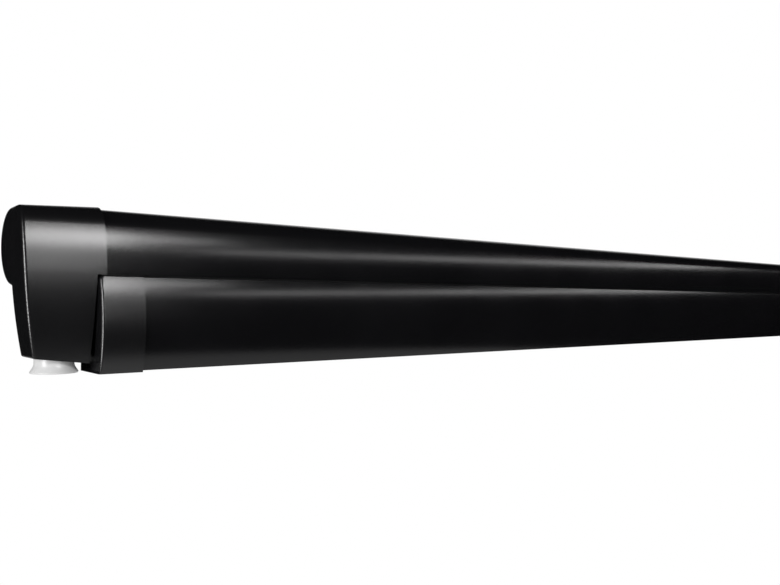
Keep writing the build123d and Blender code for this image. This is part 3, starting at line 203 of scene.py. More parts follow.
class EffectGroups:
    """The node groups that the materials share: tone drift, fine grain, brush lines, weave and dust."""

    def __init__(self) -> None:
        """Build every group once."""
        self.tone = self._tone_drift()
        self.grain = self._fine_grain()
        self.brush = self._brush_lines()
        self.weave = self._weave()
        self.dust = self._settled_dust()

    @staticmethod
    def _start(name: str, value: str, *outputs: str) -> tuple[Tree, Socket, Socket, Node]:
        """Open a node group.

        Args:
            name: The group's name.
            value: The name of the number that it takes beside its Vector.
            outputs: The names of its outputs, all numbers.

        Returns:
            The tree, the vector and the number that it takes, and its output node.
        """
        tree = bpy.data.node_groups.new(name, "ShaderNodeTree")
        tree.interface.new_socket("Vector", in_out="INPUT", socket_type="NodeSocketVector")
        tree.interface.new_socket(value, in_out="INPUT", socket_type="NodeSocketFloat")
        for output in outputs:
            tree.interface.new_socket(output, in_out="OUTPUT", socket_type="NodeSocketFloat")
        source = tree.nodes.new("NodeGroupInput")
        return tree, source.outputs["Vector"], source.outputs[value], tree.nodes.new("NodeGroupOutput")

    def _tone_drift(self) -> Tree:
        """Broad, soft patches that vary a tone.

        Returns:
            A group with a Mask output.
        """
        tree, vector, scale, sink = self._start("tone_drift", "Scale", "Mask")
        noise = put(tree, "TexNoise", {"Vector": vector, "Scale": scale, "Detail": 3.0, "Roughness": 0.6})
        spread = put(tree, "MapRange", {"Value": noise.outputs["Fac"], "From Min": 0.3, "From Max": 0.7})
        feed(tree, sink, {"Mask": spread.outputs["Result"]})
        return tree

    def _fine_grain(self) -> Tree:
        """Small soft pits and bumps, as on powder coat, mouldings and castings.

        Returns:
            A group with a Height output.
        """
        tree, vector, scale, sink = self._start("fine_grain", "Scale", "Height")
        noise = put(tree, "TexNoise", {"Vector": vector, "Scale": scale, "Detail": 2.0})
        cells = put(tree, "TexVoronoi", {"Vector": vector, "Scale": scale})
        cells.feature = "SMOOTH_F1"
        height = reckon(tree, "MULTIPLY_ADD", cells.outputs["Distance"], 0.5, noise.outputs["Fac"])
        feed(tree, sink, {"Height": height})
        return tree

    def _brush_lines(self) -> Tree:
        """Fine drawing lines that run along X.

        Returns:
            A group with Height and Mask outputs.
        """
        tree, vector, scale, sink = self._start("brush_lines", "Scale", "Height", "Mask")
        stretch = put(tree, "Mapping", {"Vector": vector, "Scale": (0.012, 1.0, 1.0)})
        noise = put(tree, "TexNoise", {"Vector": stretch.outputs["Vector"], "Scale": scale, "Detail": 3.0})
        feed(tree, sink, dict.fromkeys(("Height", "Mask"), noise.outputs["Fac"]))
        return tree

    def _weave(self) -> Tree:
        """Crossing threads of a coated cloth.

        Returns:
            A group with Height and Mask outputs.
        """
        tree, vector, scale, sink = self._start("weave", "Scale", "Height", "Mask")
        threads = []
        for direction in ("X", "Y"):
            wave = put(tree, "TexWave", {"Vector": vector, "Scale": scale, "Distortion": 0.4, "Detail": 1.0})
            wave.bands_direction = direction
            threads.append(wave.outputs["Fac"])
        feed(tree, sink, dict.fromkeys(("Height", "Mask"), reckon(tree, "MAXIMUM", *threads)))
        return tree

    def _settled_dust(self) -> Tree:
        """A thin veil on what faces up.

        Returns:
            A group with a Mask output.
        """
        tree, vector, amount, sink = self._start("settled_dust", "Amount", "Mask")
        shape = put(tree, "NewGeometry", {})
        split = put(tree, "SeparateXYZ", {"Vector": shape.outputs["Normal"]})
        upward = put(tree, "MapRange", {"Value": split.outputs["Z"], "From Min": 0.6})
        noise = put(tree, "TexNoise", {"Vector": vector, "Scale": 60.0, "Detail": 4.0})
        patch = reckon(tree, "MULTIPLY", noise.outputs["Fac"], upward.outputs["Result"])
        feed(tree, sink, {"Mask": reckon(tree, "MULTIPLY", patch, amount)})
        return tree


class PaintShop:
    """Mixes one material for each finish."""

    DUST_COLOUR: Triple = (0.32, 0.31, 0.29)

    def __init__(self, groups: EffectGroups) -> None:
        """Keep the shared node groups.

        Args:
            groups: The effects that the materials use.
        """
        self.groups = groups
        self.materials: dict[str, bpy.types.Material] = {}

    def material(self, finish: Finish) -> bpy.types.Material:
        """The material of a finish, built the first time it is asked for.

        Args:
            finish: The finish.

        Returns:
            Its material.
        """
        if finish.name not in self.materials:
            self.materials[finish.name] = self._mix(finish)
        return self.materials[finish.name]

    def _effect(self, tree: Tree, group: Tree, place: Socket, **values: float) -> Node:
        """Put a shared group into a material.

        Args:
            tree: The material's nodes.
            group: The shared group.
            place: The coordinates that it reads.
            values: The group's other inputs, by name.

        Returns:
            The group's node.
        """
        node = tree.nodes.new("ShaderNodeGroup")
        node.node_tree = group
        return feed(tree, node, {"Vector": place, **values})

    @staticmethod
    def _between(tree: Tree, mask: Source, first: Source, second: Source) -> Socket:
        """Mix two colours by a mask.

        Args:
            tree: The material's nodes.
            mask: How much of the second there is.
            first: The first colour.
            second: The second colour.

        Returns:
            The mixed colour.
        """
        mix = tree.nodes.new("ShaderNodeMix")
        mix.data_type = "RGBA"
        feed(tree, mix, {MIX_FACTOR: mask, MIX_FIRST: first, MIX_SECOND: second})
        return mix.outputs[MIX_RESULT]

    def _mix(self, finish: Finish) -> bpy.types.Material:
        """Build a finish's material.

        Args:
            finish: The finish.

        Returns:
            The new material.
        """
        material = bpy.data.materials.new(finish.name)
        material.use_nodes = True
        tree = material.node_tree
        place = put(tree, "TexCoord", {})
        where = place.outputs["UV"] if finish.grain is Grain.WOVEN else place.outputs["Object"]
        tone = self._effect(tree, self.groups.tone, place.outputs["Object"], Scale=9.0)
        tones = [tuple(channel * (1.0 + change) for channel in finish.colour)
                 for change in (-finish.tone_change, finish.tone_change)]
        surface = self._between(tree, tone.outputs["Mask"], *tones)
        if finish.dust:
            veil = self._effect(tree, self.groups.dust, place.outputs["Object"], Amount=finish.dust)
            surface = self._between(tree, veil.outputs["Mask"], surface, self.DUST_COLOUR)
        lined = {Grain.BRUSHED: self.groups.brush, Grain.WOVEN: self.groups.weave}
        group = lined.get(finish.grain, self.groups.grain)
        lines = self._effect(tree, group, where, Scale=finish.grain_per_m)
        mask = (lines if finish.grain in lined else tone).outputs["Mask"]
        gloss = put(tree, "MapRange", {"Value": mask, "To Min": finish.roughness - finish.roughness_change,
                                       "To Max": finish.roughness + finish.roughness_change})
        bump = put(tree, "Bump", {"Height": lines.outputs["Height"], "Distance": finish.grain_depth_mm * MM})
        feed(tree, tree.nodes["Principled BSDF"], {
            "Metallic": finish.metallic, "Specular IOR Level": finish.specular, "Base Color": surface,
            "Roughness": gloss.outputs["Result"], "Normal": bump.outputs["Normal"]})
        return material


class Bench:
    """Turns finished bmeshes into pieces: scaled to metres, shaded, painted and riding on their bodies."""

    def __init__(self, frame: dict, paint: PaintShop) -> None:
        """Read which body and slot each node has.

        Args:
            paint: Where the materials come from.
        """
        record = frame["record"]
        self.nodes = frame["nodes"]
        self.paint = paint
        self.body_of = {node: body for body, nodes in record["behaviour"]["bodies"].items() for node in nodes}
        self.slot_of = {part["node"]: part["material_slot"] for part in record["subparts"]}

    def piece(self, name: str, shape: Shape, body: str | None, slot: str, crease: float = CREASE,
              metres: bool = False) -> Thing:
        """Make a piece of a bmesh.

        Args:
            name: The piece's name.
            shape: Its mesh in millimetres, freed here.
            body: The body it rides on, or None to leave it on no body.
            slot: The record's slot that it takes its finish from.
            crease: The angle in degrees past which an edge stays sharp.
            metres: Whether the mesh is in metres already, with its faces turned out.

        Returns:
            The new object.
        """
        if not metres:
            bmesh.ops.recalc_face_normals(shape, faces=shape.faces)
            bmesh.ops.scale(shape, vec=(MM, MM, MM), verts=shape.verts)
        mesh = bpy.data.meshes.new(name)
        shape.to_mesh(mesh)
        shape.free()
        mesh.shade_smooth()
        mesh.set_sharp_from_angle(angle=math.radians(crease))
        thing = bpy.data.objects.new(name, mesh)
        bpy.context.scene.collection.objects.link(thing)
        mesh.materials.append(self.paint.material(SLOT_FINISHES[slot]))
        if body:
            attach(thing, body)
        LOG.info("%s: %d faces on %s", name, len(mesh.polygons), body or "two bodies")
        return thing

    def _merged(self, node: str) -> Shape:
        """A CAD node's mesh with its loose triangles joined.

        Args:
            node: The node.

        Returns:
            The mesh, in metres.
        """
        shape = bmesh.new()
        shape.from_mesh(self.nodes[node].data)
        bmesh.ops.remove_doubles(shape, verts=shape.verts, dist=NODE_MERGE_M)
        return shape

    def _skin(self, node: str, shape: Shape, crease: float) -> Thing:
        """Put a shape in the place of a CAD node.

        Args:
            node: The node.
            shape: The shape in metres, freed here.
            crease: The angle in degrees past which an edge stays sharp.

        Returns:
            The new object.
        """
        piece = self.piece(f"{node}_skin", shape, self.body_of[node], self.slot_of[node], crease, metres=True)
        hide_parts(node)
        return piece

    def dressed(self, node: str, edge_mm: float = 0.0, crease: float = CREASE) -> None:
        """A merged, smoothly shaded copy of a CAD node that stands for it.

        Args:
            node: The node.
            edge_mm: The width of a small round put on its sharp edges, or 0.
            crease: The angle in degrees past which an edge stays sharp.
        """
        piece = self._skin(node, self._merged(node), crease)
        if edge_mm:
            rounding = piece.modifiers.new("edge", "BEVEL")
            rounding.width = edge_mm * MM
            rounding.segments = 2
            rounding.limit_method = "ANGLE"
            rounding.angle_limit = math.radians(crease)
            rounding.harden_normals = True
        piece.modifiers.new("shading", "WEIGHTED_NORMAL").keep_sharp = True

    def moulded(self, node: str, form: "SmoothForm", edge_mm: float, crease: float) -> None:
        """A merged copy of a CAD node with softened edges, shaded as the smooth form that it was moulded to.

        Args:
            node: The node.
            form: The smooth form.
            edge_mm: The width of the rounds put on its sharp edges.
            crease: The angle in degrees past which an edge counts as sharp.
        """
        shape = self._merged(node)
        sharp = [edge for edge in shape.edges
                 if edge.is_manifold and edge.calc_face_angle() > math.radians(crease)]
        bmesh.ops.bevel(shape, geom=sharp, offset=edge_mm * MM, offset_type="OFFSET", segments=2, profile=0.5,
                        affect="EDGES", clamp_overlap=True, material=-1)
        piece = self._skin(node, shape, crease)
        piece.modifiers.new("shading", "WEIGHTED_NORMAL").keep_sharp = True
        weighed = piece.evaluated_get(bpy.context.evaluated_depsgraph_get())
        piece.data = bpy.data.meshes.new_from_object(weighed)
        piece.modifiers.clear()
        form.shade(piece)


@dataclass(frozen=True)
class SmoothForm:
    """A form whose exact surface direction is known, used to shade a faceted copy of it without seams.

    Attributes:
        direction: The surface's direction in the YZ plane, in degrees, at a (y, z) in millimetres.
        tilt: How far the surface leans along X, in degrees.
        within: How far a face may lean from the form and still count as part of it, in degrees.
    """

    direction: Callable[[float, float], float]
    tilt: float = 0.0
    within: float = 7.0

    def shade(self, piece: Thing) -> None:
        """Give the piece's corners the form's own directions where its faces follow the form.

        Args:
            piece: The piece.
        """
        mesh = piece.data
        normals = [corner.vector.copy() for corner in mesh.corner_normals]
        lean, within = math.radians(self.tilt), math.radians(self.within)
        for polygon in mesh.polygons:
            for index in polygon.loop_indices:
                place = mesh.vertices[mesh.loops[index].vertex_index].co / MM
                angle = math.radians(self.direction(place.y, place.z))
                exact = Vector((math.sin(lean), math.cos(lean) * math.cos(angle),
                                math.cos(lean) * math.sin(angle)))
                if polygon.normal.angle(exact, math.pi) < within:
                    normals[index] = exact
        mesh.normals_split_custom_set(normals)


class SectionPen:
    """Draws the outline of a drawn section in the YZ plane and pulls it out along X."""

    def __init__(self, x: float, start: Point) -> None:
        """Put the pen down.

        Args:
            x: Where along the awning the section is drawn.
            start: The first point, as (y, z).
        """
        self.x = x
        self.shape = bmesh.new()
        self.first = self.shape.verts.new((x, *start))
        self.tip = self.first

    def line_to(self, *points: Point) -> "SectionPen":
        """Draw straight lines through points.

        Args:
            points: The points, as (y, z).

        Returns:
            This pen.
        """
        for point in points:
            made = bmesh.ops.extrude_vert_indiv(self.shape, verts=[self.tip])
            self.tip = made["verts"][0]
            self.tip.co = (self.x, *point)
        return self

    def arc_by(self, centre: Point, turn: float, steps: int) -> "SectionPen":
        """Draw an arc.

        Args:
            centre: Its centre, as (y, z).
            turn: How far it turns, in degrees from +Y towards +Z.
            steps: How many straight steps stand for it.

        Returns:
            This pen.
        """
        made = bmesh.ops.spin(self.shape, geom=[self.tip], cent=(self.x, *centre), axis=(1, 0, 0),
                              angle=math.radians(turn), steps=steps, use_duplicate=False)
        self.tip = next(part for part in made["geom_last"] if isinstance(part, bmesh.types.BMVert))
        return self

    def pull(self, far_x: float, bays: int) -> Shape:
        """Close the outline and pull it out to a solid.

        Args:
            far_x: Where the far end is.
            bays: How many lengths it is divided into.

        Returns:
            The finished bmesh.
        """
        self.shape.edges.new((self.tip, self.first))
        bmesh.ops.remove_doubles(self.shape, verts=self.shape.verts, dist=MERGE_MM)
        made = bmesh.ops.contextual_create(self.shape, geom=self.shape.edges[:])
        face = made["faces"][0]
        step = Vector(((far_x - self.x) / bays, 0, 0))
        for _ in range(bays):
            made = bmesh.ops.extrude_face_region(self.shape, geom=[face])
            moved = [part for part in made["geom"] if isinstance(part, bmesh.types.BMVert)]
            bmesh.ops.translate(self.shape, vec=step, verts=moved)
            face = next(part for part in made["geom"] if isinstance(part, bmesh.types.BMFace))
        return self.shape


def on_circle(centre: Point, radius: float, angle: float) -> Point:
    """A point on a circle.

    Args:
        centre: The circle's centre.
        radius: Its radius.
        angle: The angle in degrees.

    Returns:
        The point.
    """
    turn = math.radians(angle)
    return centre[0] + radius * math.cos(turn), centre[1] + radius * math.sin(turn)


@dataclass
class Cassette:
    """The cassette's drawn section, with the seal under its lip."""

    bench: Bench
    end_x: float = 1252.0
    wall: float = 1.8
    head: Point = (-38.5, 36.0)
    head_radius: float = 34.0
    brow_radius: float = 24.0
    brow_turn: float = 72.0
    hood_radius: float = 134.0
    lip_z: float = 12.0
    front_y: float = -89.4
    lip_depth: float = 7.0
    rear_y: float = -41.0
    bottom_z: float = -60.0
    shelf_z: float = 2.2
    shelf_depth: float = 18.0
    shelf_hook: float = 2.4
    bead_depth: float = 3.4
    bead_height: float = 3.0
    rib_end_x: float = 1234.7
    rib_angle: float = 64.0
    rib_height: float = 2.0
    rib_width: float = 2.6
    port_radius: float = 3.6
    port_bore: float = 1.9
    port_angle: float = 150.0
    port_sweep: float = 359.0
    hood_steps: int = 14
    brow_steps: int = 24
    head_steps: int = 60
    port_steps: int = 32
    bays: int = 26

    def build(self) -> None:
        """Build the section and dress what belongs to it."""
        for part, shape in (("section", self._section()), ("rib", self._rib()), ("screw_port", self._port())):
            piece = self.bench.piece(f"cassette_{part}", shape, "cassette", "black_profile")
            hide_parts("cassette_body")
        self.bench.dressed("hood_seal")

    def _brow_centre(self) -> Point:
        """Where the brow's arc has its centre, as (y, z)."""
        hood = (self.front_y + self.hood_radius, self.lip_z)
        start = 90.0 + self.brow_turn
        return on_circle(on_circle(hood, self.hood_radius, start), -self.brow_radius, start)

    def _rib(self) -> Shape:
        """Draw the rib that stands on the head.

        Returns:
            The rib's bmesh.
        """
        half = math.degrees(self.rib_width / 2 / self.head_radius)
        low, high = self.head_radius - self.wall / 2, self.head_radius + self.rib_height
        first, *others = (on_circle(self.head, radius, self.rib_angle + turn)
                          for radius, turn in ((low, -half), (high, -half), (high, half), (low, half)))
        return SectionPen(-self.rib_end_x, first).line_to(*others).pull(self.rib_end_x, 1)

    def _port(self) -> Shape:
        """Draw the round port under the brow that the caps' screws go into.

        Returns:
            The port's bmesh.
        """
        middle = on_circle(self._brow_centre(), self.brow_radius - self.port_radius, self.port_angle)
        pen = SectionPen(-self.end_x, on_circle(middle, self.port_radius, 0))
        pen.arc_by(middle, self.port_sweep, self.port_steps)
        pen.line_to(on_circle(middle, self.port_bore, self.port_sweep))
        pen.arc_by(middle, -self.port_sweep, self.port_steps)
        return pen.pull(self.end_x, 1)

    def _section(self) -> Shape:
        """Draw the outline all round the wall and pull it out.

        Returns:
            The section's bmesh.
        """
        hood = (self.front_y + self.hood_radius, self.lip_z)
        hood_turn = 90.0 - self.brow_turn
        brow = self._brow_centre()
        lip_y = self.front_y + self.lip_depth
        inner_y = self.rear_y - self.wall
        bead_y, bead_z = self.rear_y + self.bead_depth, self.bottom_z + self.bead_height
        shelf_y = inner_y - self.shelf_depth
        shelf_in, shelf_under = shelf_y + self.wall, self.shelf_z - self.wall
        hook_z = self.shelf_z - self.shelf_hook
        foot_z = self.head[1] - self.head_radius
        lip_turn = math.degrees(math.asin(self.wall / (self.hood_radius - self.wall)))
        pen = SectionPen(-self.end_x, (lip_y, self.lip_z))
        pen.line_to((self.front_y, self.lip_z))
        pen.arc_by(hood, -hood_turn, self.hood_steps).arc_by(brow, -self.brow_turn, self.brow_steps)
        pen.line_to((self.head[0], self.head[1] + self.head_radius)).arc_by(self.head, -180, self.head_steps)
        pen.line_to((self.rear_y, foot_z), (self.rear_y, bead_z), (bead_y, bead_z), (bead_y, self.bottom_z),
                    (inner_y, self.bottom_z), (inner_y, shelf_under), (shelf_in, shelf_under),
                    (shelf_in, hook_z), (shelf_y, hook_z), (shelf_y, self.shelf_z), (inner_y, self.shelf_z),
                    (inner_y, foot_z + self.wall), (self.head[0], foot_z + self.wall))
        pen.arc_by(self.head, 180, self.head_steps).line_to(on_circle(brow, self.brow_radius - self.wall, 90))
        pen.arc_by(brow, self.brow_turn, self.brow_steps).arc_by(hood, hood_turn - lip_turn, self.hood_steps)
        pen.line_to((lip_y, self.lip_z + self.wall))
        return pen.pull(self.end_x, self.bays)


@dataclass
class LeadRail:
    """The lead rail's drawn section between its caps."""

    bench: Bench
    end_x: float = 1238.7
    wall: float = 1.8
    front_y: float = -101.0
    edge_y: float = -94.5
    back_y: float = -45.5
    top_z: float = 10.0
    bottom_z: float = -70.0
    floor_z: float = -34.0
    back_bottom_z: float = -66.0
    lip: float = 3.0
    rib_y: float = -70.0
    rib_half: float = 0.7
    rib_bottom_z: float = -50.0
    groove: Point = (-72.0, 5.0)
    groove_radius: float = 4.0
    groove_bore: float = 2.6
    groove_slot: float = 1.8
    face_steps: int = 36
    upper_steps: int = 18
    lower_steps: int = 14
    mouth_steps: int = 8
    bore_steps: int = 24
    round_steps: int = 20
    bays: int = 26

    def build(self) -> None:
        """Build the section."""
        body = self.bench.piece("lead_rail_section", self._section(), "lead_rail", "black_profile")
        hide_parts("lead_rail_body")

    def _section(self) -> Shape:
        """Draw the outline: curved face, top with the fabric groove, floor, back wall and lane rib.

        Returns:
            The section's bmesh.
        """
        half = (self.top_z - self.bottom_z) / 2
        rise = self.edge_y - self.front_y
        radius = (half**2 + rise**2) / (2 * rise)
        middle = (self.front_y + radius, (self.top_z + self.bottom_z) / 2)
        inner = radius - self.wall
        floor_under = self.floor_z - self.wall
        inner_back = self.back_y - self.wall
        slot_half = self.groove_slot / 2

        def face_angle(z: float, reach: float) -> float:
            """The angle on the front curve at a height."""
            return 180.0 - math.degrees(math.asin((z - middle[1]) / reach))

        def groove_angle(z: float, reach: float) -> float:
            """The angle on the groove's round at a height."""
            return math.degrees(math.asin((z - self.groove[1]) / reach))

        lip_y = self.edge_y + self.lip
        mouth = groove_angle(self.groove[1] + slot_half, self.groove_radius)
        throat = groove_angle(self.groove[1] + slot_half, self.groove_bore)
        under_top = self.top_z - self.wall
        meet = groove_angle(under_top, self.groove_radius)
        pen = SectionPen(-self.end_x, (lip_y, self.bottom_z))
        pen.line_to((self.edge_y, self.bottom_z))
        face_turn = face_angle(self.top_z, radius) - face_angle(self.bottom_z, radius)
        pen.arc_by(middle, face_turn, self.face_steps)
        pen.line_to((self.groove[0], self.top_z), (self.groove[0], self.groove[1] + self.groove_radius))
        pen.arc_by(self.groove, mouth - 90, self.mouth_steps)
        pen.line_to(on_circle(self.groove, self.groove_bore, throat))
        pen.arc_by(self.groove, 360 - 2 * throat, self.bore_steps)
        pen.line_to(on_circle(self.groove, self.groove_radius, -mouth))
        pen.arc_by(self.groove, mouth - meet - 180, self.round_steps)
        pen.line_to(on_circle(middle, inner, face_angle(under_top, inner)))
        upper_turn = face_angle(self.floor_z, inner) - face_angle(under_top, inner)
        pen.arc_by(middle, upper_turn, self.upper_steps)
        rib_front, rib_back = self.rib_y - self.rib_half, self.rib_y + self.rib_half
        pen.line_to((self.back_y, self.floor_z), (self.back_y, self.back_bottom_z),
                    (inner_back, self.back_bottom_z), (inner_back, floor_under), (rib_back, floor_under),
                    (rib_back, self.rib_bottom_z), (rib_front, self.rib_bottom_z), (rib_front, floor_under),
                    on_circle(middle, inner, face_angle(floor_under, inner)))
        low_turn = face_angle(self.bottom_z + self.wall, inner) - face_angle(floor_under, inner)
        pen.arc_by(middle, low_turn, self.lower_steps)
        pen.line_to((lip_y, self.bottom_z + self.wall))
        return pen.pull(self.end_x, self.bays)


@dataclass
class CrankDrive:
    """The gearbox under the left cap and the light bell that takes the crank's hook."""

    bench: Bench
    axis: Point = (-1269.0, -62.0)
    neck_radius: float = 15.8
    rim_radius: float = 19.0
    top_z: float = -54.0
    ceiling_z: float = -57.6
    neck_z: float = -63.4
    rim_z: float = -69.6
    bottom_z: float = -70.8
    wall: float = 2.6
    edge: float = 0.6
    waist: Point = (0.6, 2.0)
    skirt: Point = (1.8, 4.0)
    inner_skirt: Point = (1.6, 3.6)
    lip_round: Point = (0.2, 0.3)
    bar_radius: float = 2.2
    bar_z: float = -63.6
    steps: int = 64
    bar_steps: int = 24

    def build(self) -> None:
        """Build the bell and dress the drive behind it."""
        bell = self.bench.piece("crank_bell_skin", self._bell(), "crank", "bell_grey")
        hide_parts("crank_bell")
        for node in ("gearbox_housing", "worm_wheel", "worm_shaft"):
            self.bench.dressed(node)

    def _bell(self) -> Shape:
        """Turn the bell's wall and put the hook's bar across it.

        Returns:
            The bell's bmesh.
        """
        shape = bmesh.new()
        neck, rim = self.neck_radius, self.rim_radius
        bore = neck - self.wall
        outline = [(0.0, self.top_z), (neck - self.edge, self.top_z), (neck, self.top_z - self.edge),
                   (neck, self.neck_z), (neck + self.waist[0], self.neck_z - self.waist[1]),
                   (neck + self.skirt[0], self.neck_z - self.skirt[1]), (rim, self.rim_z),
                   (rim - self.lip_round[0], self.bottom_z + self.lip_round[1]),
                   (rim - self.edge, self.bottom_z), (rim - self.wall + self.edge, self.bottom_z),
                   (rim - self.wall, self.bottom_z + self.edge),
                   (bore + self.inner_skirt[0], self.neck_z - self.inner_skirt[1]),
                   (bore, self.neck_z), (bore, self.ceiling_z), (0.0, self.ceiling_z)]
        points = [shape.verts.new((self.axis[0] + radius, self.axis[1], z)) for radius, z in outline]
        edges = [shape.edges.new(pair) for pair in zip(points, points[1:])]
        bmesh.ops.spin(shape, geom=points + edges, cent=(*self.axis, 0), axis=(0, 0, 1), angle=math.tau,
                       steps=self.steps, use_merge=True)
        bmesh.ops.remove_doubles(shape, verts=shape.verts, dist=MERGE_MM)
        turn = Matrix.Translation((*self.axis, self.bar_z)) @ Matrix.Rotation(math.pi / 2, 4, "Y")
        bmesh.ops.create_cone(shape, cap_ends=True, segments=self.bar_steps, radius1=self.bar_radius,
                              radius2=self.bar_radius, depth=2 * neck - self.wall, matrix=turn)
        return shape


@dataclass
class RollerDrum:
    """The roller tube with the cloth wound on it."""

    bench: Bench
    axis: Point = (-38.5, 36.0)
    end_x: float = 1225.0
    outer: float = 29.0
    inner: float = 21.2
    layers: int = 8
    layer_step: float = 0.5
    steps: int = 96

    def build(self) -> None:
        """Build the wound cloth and dress the tube's parts."""
        roll = self.bench.piece("wound_cloth", self._wound(), "roller", "cloth")
        self._lay_weave(roll)
        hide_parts("fabric_roll")
        for node in ("roller_tube", "roller_drive_plug", "roller_idler_plug", "left_roller_bearing",
                     "right_roller_bearing"):
            self.bench.dressed(node)

    def _wound(self) -> Shape:
        """Turn the wound cloth, with its layers stepping at the ends.

        Returns:
            The roll's bmesh.
        """
        shape = bmesh.new()
        thick = (self.outer - self.inner) / self.layers
        outline: list[Point] = []
        for layer in range(self.layers):
            back = self.layer_step if layer % 2 else 0.0
            low = self.inner + layer * thick
            outline += [(self.end_x - back, low), (self.end_x - back, low + thick)]
        ring = [(-x, radius) for x, radius in reversed(outline)]
        corners = [shape.verts.new((x, self.axis[0] - radius, self.axis[1])) for x, radius in outline + ring]
        edges = [shape.edges.new(pair) for pair in zip(corners, corners[1:] + corners[:1])]
        bmesh.ops.spin(shape, geom=corners + edges, cent=(0, *self.axis), axis=(1, 0, 0), angle=math.tau,
                       steps=self.steps, use_merge=True)
        return shape

    def _lay_weave(self, roll: Thing) -> None:
        """Lay the weave's coordinates round the roll.

        Args:
            roll: The roll.
        """
        layer = roll.data.uv_layers.new(name="weave")
        for loop in roll.data.loops:
            place = roll.data.vertices[loop.vertex_index].co
            turn = math.atan2(place.z - self.axis[1] * MM, place.y - self.axis[0] * MM)
            layer.data[loop.index].uv = (place.x, turn * self.outer * MM)


@dataclass(frozen=True)
class ClothFan:
    """A part of the cloth that lies in the slot when the awning is shut and opens as a fan with one joint."""

    name: str
    bodies: tuple[str, str]
    pivot: Point
    open_pivot: Point
    way: int
    turn: float
    base_turn: float
    side_x: float
    edge_y: float
    longest: float
    level: float
    behind: float


